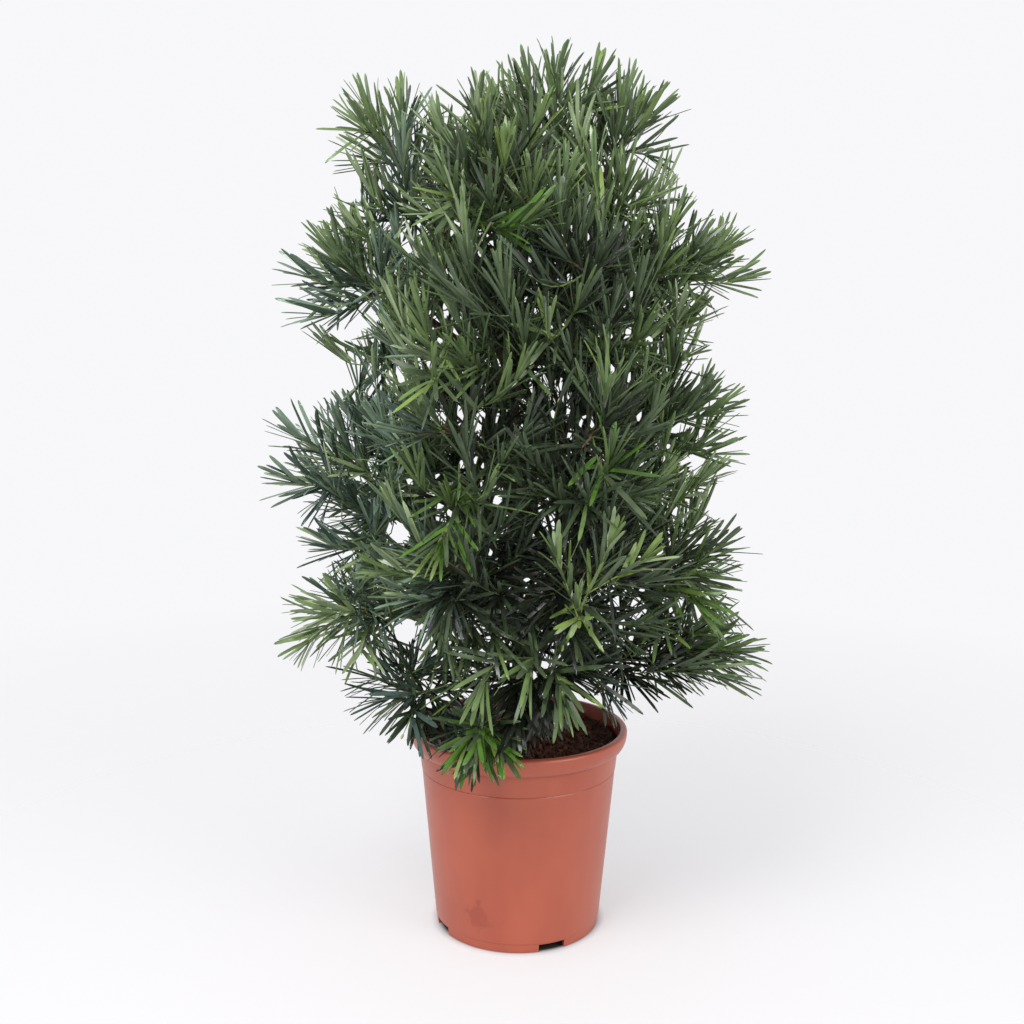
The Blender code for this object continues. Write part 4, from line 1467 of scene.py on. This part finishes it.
class StageSettings(bpy.types.PropertyGroup):
    """Studio round the plant."""

    key: FloatProperty(name="Key light", description="Power of the key light", unit="POWER", default=78.0)
    fill: FloatProperty(name="Fill light", description="Power of the fill", unit="POWER", default=26.0)
    surround: FloatProperty(
        name="Surround",
        description="Strength of the light from all round",
        subtype="FACTOR",
        min=0.0,
        max=1.0,
        default=0.84,
    )


class PodocarpusSettings(bpy.types.PropertyGroup):
    """Everything that a user of the plant would change."""

    pot: PointerProperty(type=PotSettings)
    soil: PointerProperty(type=SoilSettings)
    bark: PointerProperty(type=BarkSettings)
    crown: PointerProperty(type=CrownSettings)
    tints: PointerProperty(type=TintSettings)
    stage: PointerProperty(type=StageSettings)


def wall_radius(height):
    """Outer radius of the pot's straight wall at a height, before the crease and foot steps."""
    return BASE_RADIUS + (WALL_TOP_RADIUS - BASE_RADIUS) * height / LIP_FOOT


def inner_radius(height):
    """Inner radius of the pot's wall at a height."""
    return wall_radius(height) - CREASE_STEP - WALL


def quarter_turn(first=0):
    """Sines and cosines over a quarter of a turn."""
    angles = [0.5 * math.pi * step / ARC_STEPS for step in range(first, ARC_STEPS + 1)]
    return [(math.sin(angle), math.cos(angle)) for angle in angles]


def pot_outline():
    """The pot's whole outline, from the middle of its underside, up outside and down inside."""
    ring_inner = BASE_RADIUS - RING_WIDTH
    widest = RIM_TOP - LIP_ROLL
    points = [
        (0.0, 0.0),
        (DISC_RADIUS, 0.0),
        (DISC_RADIUS + WALL, CHANNEL_ROOF),
        (ring_inner - 0.5 * WALL, CHANNEL_ROOF),
        (ring_inner, RING_ROUND),
        (ring_inner + 1.2 * RING_ROUND, 0.0),
        (BASE_RADIUS - BASE_ROUND, 0.0),
        (BASE_RADIUS, BASE_ROUND),
        (wall_radius(FOOT_HEIGHT), FOOT_HEIGHT),
        (wall_radius(FOOT_HEIGHT) + FOOT_STEP, FOOT_HEIGHT + FOOT_STEP),
    ]
    for inward, down in CREASE_PROFILE:
        radius = wall_radius(CREASE_HEIGHT) - inward * CREASE_STEP
        points.append((radius, CREASE_HEIGHT - down * CREASE_STEP))
    points.append((WALL_TOP_RADIUS, LIP_FOOT))
    for sine, cosine in quarter_turn(1):
        points.append((blend(WALL_TOP_RADIUS, RIM_RADIUS, sine), blend(widest, LIP_FOOT, cosine)))
    for sine, cosine in quarter_turn(1):
        points.append((RIM_RADIUS - LIP_ROLL * (1.0 - cosine), widest + LIP_ROLL * sine))
    for sine, cosine in quarter_turn():
        radius = MOUTH_RADIUS + 0.5 * LIP_ROLL * (1.0 - sine)
        points.append((radius, RIM_TOP - 0.5 * LIP_ROLL * (1.0 - cosine)))
    points += [
        (inner_radius(LIP_FOOT), LIP_FOOT),
        (inner_radius(FLOOR_TOP), FLOOR_TOP),
        (DISC_RADIUS, FLOOR_TOP),
        (DISC_RADIUS - WALL, DISC_TOP),
        (0.0, DISC_TOP),
    ]
    return points


def turned(profile, name, segments):
    """Spin an outline whose ends are on the Z axis round that axis."""
    bm = bmesh.new()
    points = [bm.verts.new((radius, 0.0, height)) for radius, height in profile]
    edges = [bm.edges.new(pair) for pair in zip(points, points[1:])]
    bmesh.ops.spin(
        bm,
        geom=points + edges,
        cent=(0.0, 0.0, 0.0),
        axis=(0.0, 0.0, 1.0),
        angle=2.0 * math.pi,
        steps=segments,
    )
    bmesh.ops.remove_doubles(bm, verts=bm.verts, dist=1e-6)
    bmesh.ops.recalc_face_normals(bm, faces=bm.faces)
    return object_from(bm, name)


class PODOCARPUS_OT_pot(bpy.types.Operator):
    """Build the nursery pot with its rolled lip, crease, foot and drain notches"""

    bl_idname = "podocarpus.pot"
    bl_label = "Pot"

    def execute(self, context):
        settings = context.scene.podocarpus.pot
        obj = turned(pot_outline(), "nursery_pot", POT_SEGMENTS)
        cutter = self.notches()
        modifier = obj.modifiers.new("notches", "BOOLEAN")
        modifier.operation = "DIFFERENCE"
        modifier.object = cutter
        graph = context.evaluated_depsgraph_get()
        cut = bpy.data.meshes.new_from_object(obj.evaluated_get(graph))
        obj.modifiers.remove(modifier)
        obj.data = cut
        bpy.data.objects.remove(cutter)
        obj.data.shade_smooth()
        obj.data.set_sharp_from_angle(angle=POT_SHARP_ANGLE)
        obj.data.materials.clear()
        obj.data.materials.append(moulded_plastic(settings.colour, settings.roughness))
        seat(obj, "terracotta", "pot")
        return {"FINISHED"}

    def notches(self):
        """Blocks that cut the drain notches through the foot ring."""
        bm = bmesh.new()
        for number in range(NOTCHES):
            turn = NOTCH_TURN + 2.0 * math.pi * number / NOTCHES
            block = bmesh.ops.create_cube(bm, size=1.0)["verts"]
            bmesh.ops.scale(bm, verts=block, vec=(NOTCH_DEPTH, NOTCH_WIDTH, 2.0 * NOTCH_HEIGHT))
            bmesh.ops.translate(bm, verts=block, vec=(BASE_RADIUS, 0.0, 0.0))
            spin = Matrix.Rotation(turn, 3, "Z")
            bmesh.ops.rotate(bm, verts=block, cent=(0.0, 0.0, 0.0), matrix=spin)
        return object_from(bm, "notch_cutter")


def peat_bank(radius, reach):
    """How much the peat banks up towards the wall at a radius."""
    return PEAT_BANK * (radius / reach) ** PEAT_BANK_POWER


def peat_height(radius):
    """Height of the peat's middle surface at a radius."""
    reach = inner_radius(LIP_FOOT)
    slope = max(0.0, radius - SOIL_FLAT_RADIUS) / (reach - SOIL_FLAT_RADIUS)
    return blend(SOIL_HEIGHT, SOIL_EDGE, slope) + peat_bank(radius, reach)


class PODOCARPUS_OT_soil(bpy.types.Operator):
    """Build the peat with its loose crumbs and fibres"""

    bl_idname = "podocarpus.soil"
    bl_label = "Soil"

    def execute(self, context):
        settings = context.scene.podocarpus.soil
        obj = self.bed(settings)
        obj.data.shade_smooth()
        obj.data.materials.append(grown_material("peat", PEAT, settings.colour))
        seat(obj, "peat", "soil")
        seat(self.crumbs(settings), "peat")
        seat(self.fibres(settings), "peat")
        return {"FINISHED"}

    def bed(self, settings):
        """The peat's body with its bumpy top."""
        reach = inner_radius(LIP_FOOT) - PEAT_GAP
        flat = PEAT_FLAT_RINGS
        outline = [(SOIL_FLAT_RADIUS * ring / flat, SOIL_HEIGHT) for ring in range(flat + 1)]
        for ring in range(1, PEAT_SLOPE_RINGS + 1):
            share = ring / PEAT_SLOPE_RINGS
            outline.append((blend(SOIL_FLAT_RADIUS, reach, share), blend(SOIL_HEIGHT, SOIL_EDGE, share)))
        outline += [
            (inner_radius(FLOOR_TOP) - PEAT_GAP, FLOOR_TOP + PEAT_GAP),
            (DISC_RADIUS - PEAT_GAP, FLOOR_TOP + PEAT_GAP),
            (DISC_RADIUS - WALL - PEAT_GAP, DISC_TOP + PEAT_GAP),
            (0.0, DISC_TOP + PEAT_GAP),
        ]
        obj = turned(outline, "peat_bed", PEAT_SEGMENTS)
        for vertex in obj.data.vertices:
            radius = math.hypot(vertex.co.x, vertex.co.y)
            if vertex.co.z > SOIL_EDGE - PEAT_TOP_DEPTH and radius < reach - PEAT_STILL_EDGE:
                bumps = sum(weight * noise.noise(vertex.co * scale) for scale, weight in PEAT_LUMPS)
                vertex.co.z += peat_bank(radius, reach) + settings.relief * bumps - PEAT_SINK
        return obj

    def crumbs(self, settings):
        """Loose crumbs on the peat."""
        dice = random.Random(CRUMB_SEED)
        shapes = shape_set("crumb_shapes", [self.crumb(f"crumb_{n}", n) for n in range(CRUMB_SHAPES)])
        rows = []
        for _ in range(settings.crumbs):
            radius = (inner_radius(LIP_FOOT) - CRUMBS_WALL) * math.sqrt(dice.random())
            turn = dice.uniform(0.0, 2.0 * math.pi)
            if radius < CRUMBS_FROM:
                continue
            place = (radius * math.cos(turn), radius * math.sin(turn), peat_height(radius))
            spin = Vector((dice.gauss(0, 1), dice.gauss(0, 1), dice.gauss(0, 1))).normalized()
            size = CRUMB_SIZE * (1.0 + CRUMB_LARGEST * dice.random() ** 3)
            sizes = (size * dice.uniform(*CRUMB_LONG), size, size * dice.uniform(*CRUMB_FLAT))
            rows.append((place, spin.to_track_quat("X", "Z"), sizes, dice.randrange(CRUMB_SHAPES)))
        finish = grown_material("peat_crumb", PEAT, shaded(settings.colour, CRUMB_SHADE))
        obj = dealt("peat_crumbs", rows, shapes, finish, finish)
        drop_shapes(shapes)
        return obj

    def fibres(self, settings):
        """Loose fibres that lie about on the peat."""
        dice = random.Random(FIBRE_SEED)
        chains = []
        for _ in range(settings.fibres):
            radius = (inner_radius(LIP_FOOT) - FIBRE_LENGTH[1]) * math.sqrt(dice.random())
            turn = dice.uniform(0.0, 2.0 * math.pi)
            middle = Vector((radius * math.cos(turn), radius * math.sin(turn), 0.0))
            way = pointing(dice.uniform(0.0, 360.0), 0.0) * (0.5 * dice.uniform(*FIBRE_LENGTH))
            side = way.cross(UP).normalized() * dice.uniform(-FIBRE_CURL, FIBRE_CURL)
            line = bezier_points((middle - way, middle + side * 2.0, middle + way), FIBRE_POINTS)
            lift = dice.uniform(0.0, 2.0) * FIBRE_CURL
            for number, point in enumerate(line):
                height = peat_height(math.hypot(point.x, point.y))
                point.z = height + lift * math.sin(math.pi * number / (FIBRE_POINTS - 1))
            chains.append((line, [FIBRE_RADIUS * dice.uniform(*FIBRE_THICKNESS)] * FIBRE_POINTS))
        finish = grown_material("peat_fibre", PEAT, tinged(settings.colour, FIBRE_TINGE))
        return tubes("peat_fibres", chains, FIBRE_SIDES, 0.0, 1.0, finish)

    def crumb(self, name, seed):
        """One irregular crumb of unit radius."""
        dice = random.Random(seed)
        bm = bmesh.new()
        bmesh.ops.create_icosphere(bm, subdivisions=1, radius=1.0)
        for vertex in bm.verts:
            vertex.co *= dice.uniform(*CRUMB_ROUGH)
        return object_from(bm, name)


class PODOCARPUS_OT_limbs(bpy.types.Operator):
    """Build the bark of the trunk and the boughs"""

    bl_idname = "podocarpus.limbs"
    bl_label = "Trunk and boughs"

    def execute(self, context):
        settings = context.scene.podocarpus.bark
        centres = trunk_line()
        radii = [trunk_radius(centre.z) - TRUNK_SLIMMING * settings.relief for centre in centres]
        trunk = [(centres, radii)]
        boughs = [(bough_line(mass), bough_radii()) for mass in filter(on_bough, MASSES)]
        skin = grown_material("bark", BARK, settings.colour)
        piece = tubes("trunk_bark", trunk, TRUNK_SIDES, settings.relief, TRUNK_RELIEF_SCALE, skin)
        seat(piece, "bark", "trunk")
        piece = tubes("bough_bark", boughs, BOUGH_SIDES, BOUGH_RELIEF, BOUGH_RELIEF_SCALE, skin)
        seat(piece, "bark", *BOUGHS)
        return {"FINISHED"}


class PODOCARPUS_OT_twigs(bpy.types.Operator):
    """Build the stems, shoots and fine twigs inside the masses of foliage"""

    bl_idname = "podocarpus.twigs"
    bl_label = "Twigs"

    def execute(self, context):
        chains = {kind: [] for kind in TWIG_KINDS}
        for twig in crown_now().twigs:
            last = len(twig.points) - 1
            sizes = [blend(twig.foot_radius, twig.tip_radius, n / last) for n in range(last)]
            sizes.append(TIP_TAPER * twig.tip_radius)
            fine = "green" if twig.foot_radius <= TWIG_RADIUS else "woody"
            chains["young" if twig.tint == "young" else fine].append((twig.points, sizes))
        for kind, (colour, sides, relief, slot) in TWIG_KINDS.items():
            skin = grown_material(f"{kind}_twig", TWIG, colour)
            seat(tubes(f"{kind}_twigs", chains[kind], sides, relief, TWIG_RELIEF_SCALE, skin), slot)
        seat(self.buds(), "leaf")
        return {"FINISHED"}

    def buds(self):
        """Pale buds at the tips of the sprays that stand out, and of some other twigs."""
        dice = random.Random(BUD_SEED)
        rows = []
        for twig in crown_now().twigs:
            if twig.stands_out or dice.random() < BUD_SHARE:
                way = way_along(twig.points, 1.0)
                size = BUD_SIZE * dice.uniform(*BUD_SIZES)
                sizes = (BUD_SLIMNESS * size, BUD_SLIMNESS * size, size)
                rows.append((twig.points[-1] + way * size, way.to_track_quat("Z", "Y"), sizes, 0))
        bm = bmesh.new()
        bmesh.ops.create_uvsphere(bm, u_segments=6, v_segments=5, radius=1.0)
        for face in bm.faces:
            face.smooth = True
        shapes = shape_set("bud_shapes", [object_from(bm, "bud")])
        finish = grown_material("bud", TWIG, BUD_COLOUR)
        buds = dealt("buds", rows, shapes, finish, finish)
        drop_shapes(shapes)
        return buds


class PODOCARPUS_OT_leaves(bpy.types.Operator):
    """Set the leaves on the twigs, each tint as a piece of its own"""

    bl_idname = "podocarpus.leaves"
    bl_label = "Leaves"

    def execute(self, context):
        shapes = [blade(f"blade_{kind}", *bends) for kind, bends in enumerate(BLADE_BENDS)]
        blades = shape_set("blades", shapes)
        for tint in TINTS:
            colour = tuple(getattr(context.scene.podocarpus.tints, tint))
            rows = [self.row(leaf) for leaf in crown_now().leaves if leaf.tint == tint]
            upper = grown_material(f"{tint}_leaf", LEAF_UPPER, colour)
            under = grown_material(f"{tint}_leaf_under", LEAF_UNDER, self.under(colour))
            leaves = dealt(f"{tint}_leaves", rows, blades, upper, under)
            seat(leaves, "leaf", *(FOLIAGE if tint == "middle" else ()))
        drop_shapes(blades)
        return {"FINISHED"}

    def under(self, colour):
        """The colour of a leaf's under side, which is greyer."""
        return tuple(blend(own, grey, UNDER_SHARE) for own, grey in zip(colour, UNDER_TINT))

    def row(self, leaf):
        """A leaf's place, turn, size and kind of blade."""
        size = (leaf.length, leaf.width / BLADE_WIDTH, leaf.length)
        return leaf.root, self.turn_of(leaf), size, leaf.kind

    def turn_of(self, leaf):
        """The turn that lays a blade along a leaf's way with its upper side to its face."""
        side = leaf.face.cross(leaf.way)
        return Matrix((leaf.way, side, leaf.face)).transposed().to_quaternion()


# Stage: the floor, with its clearness at distances from the pot's axis and its painted shade under the
# pot, the lights and the camera
FLOOR_RADIUS = 6.0
FLOOR_SEGMENTS = 96
FLOOR_COLOUR = (0.70, 0.68, 0.69)
FLOOR_FADE = 1.9
FLOOR_CLEARNESS = ((0.100, 0.0), (0.112, 0.45), (0.25, 0.5), (FLOOR_FADE, 1.0))
FLOOR_PAINTED_SHADE = ((0.097, 0.05), (0.106, 1.0))
FLOOR_ROUGHNESS = 0.8
SURROUND_COLOUR = (0.935, 0.935, 0.955, 1.0)
KEY_PLACE = Vector((-1.1, -1.7, 2.6))
KEY_SIZE = 1.3
FILL_PLACE = Vector((1.8, -1.4, 1.4))
FILL_SIZE = 1.4
LIGHTS_FACE = Vector((0.0, 0.0, 0.6))
CAMERA_LENS = 45.0
CAMERA_SENSOR = 36.0
CAMERA_SIGHT = (0.05, 50.0)
CAMERA_TILT = math.radians(90.0 - 8.624)
CAMERA_ROLL = math.radians(0.391)


class PODOCARPUS_OT_stage(bpy.types.Operator):
    """Set the pale floor, the soft studio light and the camera"""

    bl_idname = "podocarpus.stage"
    bl_label = "Stage"

    def execute(self, context):
        self.camera(context)
        self.floor()
        settings = context.scene.podocarpus.stage
        self.world(context, settings.surround)
        self.light("key", KEY_PLACE, KEY_SIZE, settings.key)
        self.light("fill", FILL_PLACE, FILL_SIZE, settings.fill)
        context.scene.view_settings.view_transform = "Standard"
        return {"FINISHED"}

    def camera(self, context):
        """The camera at the photo's place, with its tilt and slight roll."""
        data = bpy.data.cameras.new("camera")
        data.lens = CAMERA_LENS
        data.sensor_width = CAMERA_SENSOR
        data.clip_start, data.clip_end = CAMERA_SIGHT
        camera = linked("camera", data)
        tilt = Matrix.Rotation(CAMERA_TILT, 4, "X")
        roll = Matrix.Rotation(CAMERA_ROLL, 4, "Z")
        camera.matrix_world = Matrix.Translation(CAMERA_PLACE) @ tilt @ roll
        context.scene.camera = camera

    def floor(self):
        """A round pale floor that fades out into the white of the studio."""
        bm = bmesh.new()
        bmesh.ops.create_circle(bm, cap_ends=True, segments=FLOOR_SEGMENTS, radius=FLOOR_RADIUS)
        floor = object_from(bm, "studio_floor")
        material, shader = new_material("studio_floor", FLOOR_ROUGHNESS)
        nodes = Nodes(material.node_tree)
        away = nodes.add("ShaderNodeVectorMath", {0: nodes.place()}, operation="LENGTH").outputs["Value"]
        share = nodes.math("DIVIDE", away, FLOOR_FADE)
        fade = nodes.ramp(share, [(at / FLOOR_FADE, (grey,) * 3) for at, grey in FLOOR_CLEARNESS])
        # Painted shade: the floor is dark under the pot, where the drain notches look in
        painted_shades = [(at / FLOOR_FADE, shaded(FLOOR_COLOUR, factor)) for at, factor in FLOOR_PAINTED_SHADE]
        nodes.feed(shader, "Base Color", nodes.ramp(share, painted_shades))
        clear = nodes.made("ShaderNodeBsdfTransparent")
        mixed = nodes.made("ShaderNodeMixShader", {0: fade, 1: shader.outputs[0], 2: clear})
        nodes.feed(material.node_tree.nodes["Material Output"], "Surface", mixed)
        floor.data.materials.append(material)

    def world(self, context, surround):
        """Even white light all round, a little weaker than the white that the camera sees."""
        world = bpy.data.worlds.new("studio")
        world.use_nodes = True
        nodes = Nodes(world.node_tree)
        seen = nodes.add("ShaderNodeLightPath").outputs["Is Camera Ray"]
        strength = nodes.made("ShaderNodeMapRange", {"Value": seen, "To Min": surround, "To Max": 1.0})
        background = world.node_tree.nodes["Background"]
        nodes.feed(background, "Color", SURROUND_COLOUR)
        nodes.feed(background, "Strength", strength)
        context.scene.world = world

    def light(self, name, place, size, power):
        """One large, square, soft light that faces the plant."""
        data = bpy.data.lights.new(name, "AREA")
        data.size = size
        data.energy = power
        turn = (LIGHTS_FACE - place).to_track_quat("-Z", "Y")
        linked(name, data).matrix_world = Matrix.Translation(place) @ turn.to_matrix().to_4x4()


class PODOCARPUS_PT_panel(bpy.types.Panel):
    """The plant's pieces, in the order that they are built"""

    bl_idname = "PODOCARPUS_PT_panel"
    bl_label = "Podocarpus"
    bl_space_type = "VIEW_3D"
    bl_region_type = "UI"
    bl_category = "Podocarpus"

    def draw(self, context):
        for operator in BUILD_ORDER:
            self.layout.operator(operator.bl_idname)


BUILD_ORDER = (
    PODOCARPUS_OT_stage,
    PODOCARPUS_OT_pot,
    PODOCARPUS_OT_soil,
    PODOCARPUS_OT_limbs,
    PODOCARPUS_OT_twigs,
    PODOCARPUS_OT_leaves,
)
CLASSES = (
    PotSettings,
    SoilSettings,
    BarkSettings,
    CrownSettings,
    TintSettings,
    StageSettings,
    PodocarpusSettings,
    *BUILD_ORDER,
    PODOCARPUS_PT_panel,
)


def register():
    """Register the classes and the settings."""
    for cls in CLASSES:
        bpy.utils.register_class(cls)
    bpy.types.Scene.podocarpus = PointerProperty(type=PodocarpusSettings)


def unregister():
    """Remove the settings and the classes."""
    del bpy.types.Scene.podocarpus
    for cls in reversed(CLASSES):
        bpy.utils.unregister_class(cls)


def main():
    """Build every piece in order."""
    register()
    bpy.ops.podocarpus.stage()
    bpy.ops.podocarpus.pot()
    bpy.ops.podocarpus.soil()
    bpy.ops.podocarpus.limbs()
    bpy.ops.podocarpus.twigs()
    bpy.ops.podocarpus.leaves()


if __name__ == "__main__":
    main()
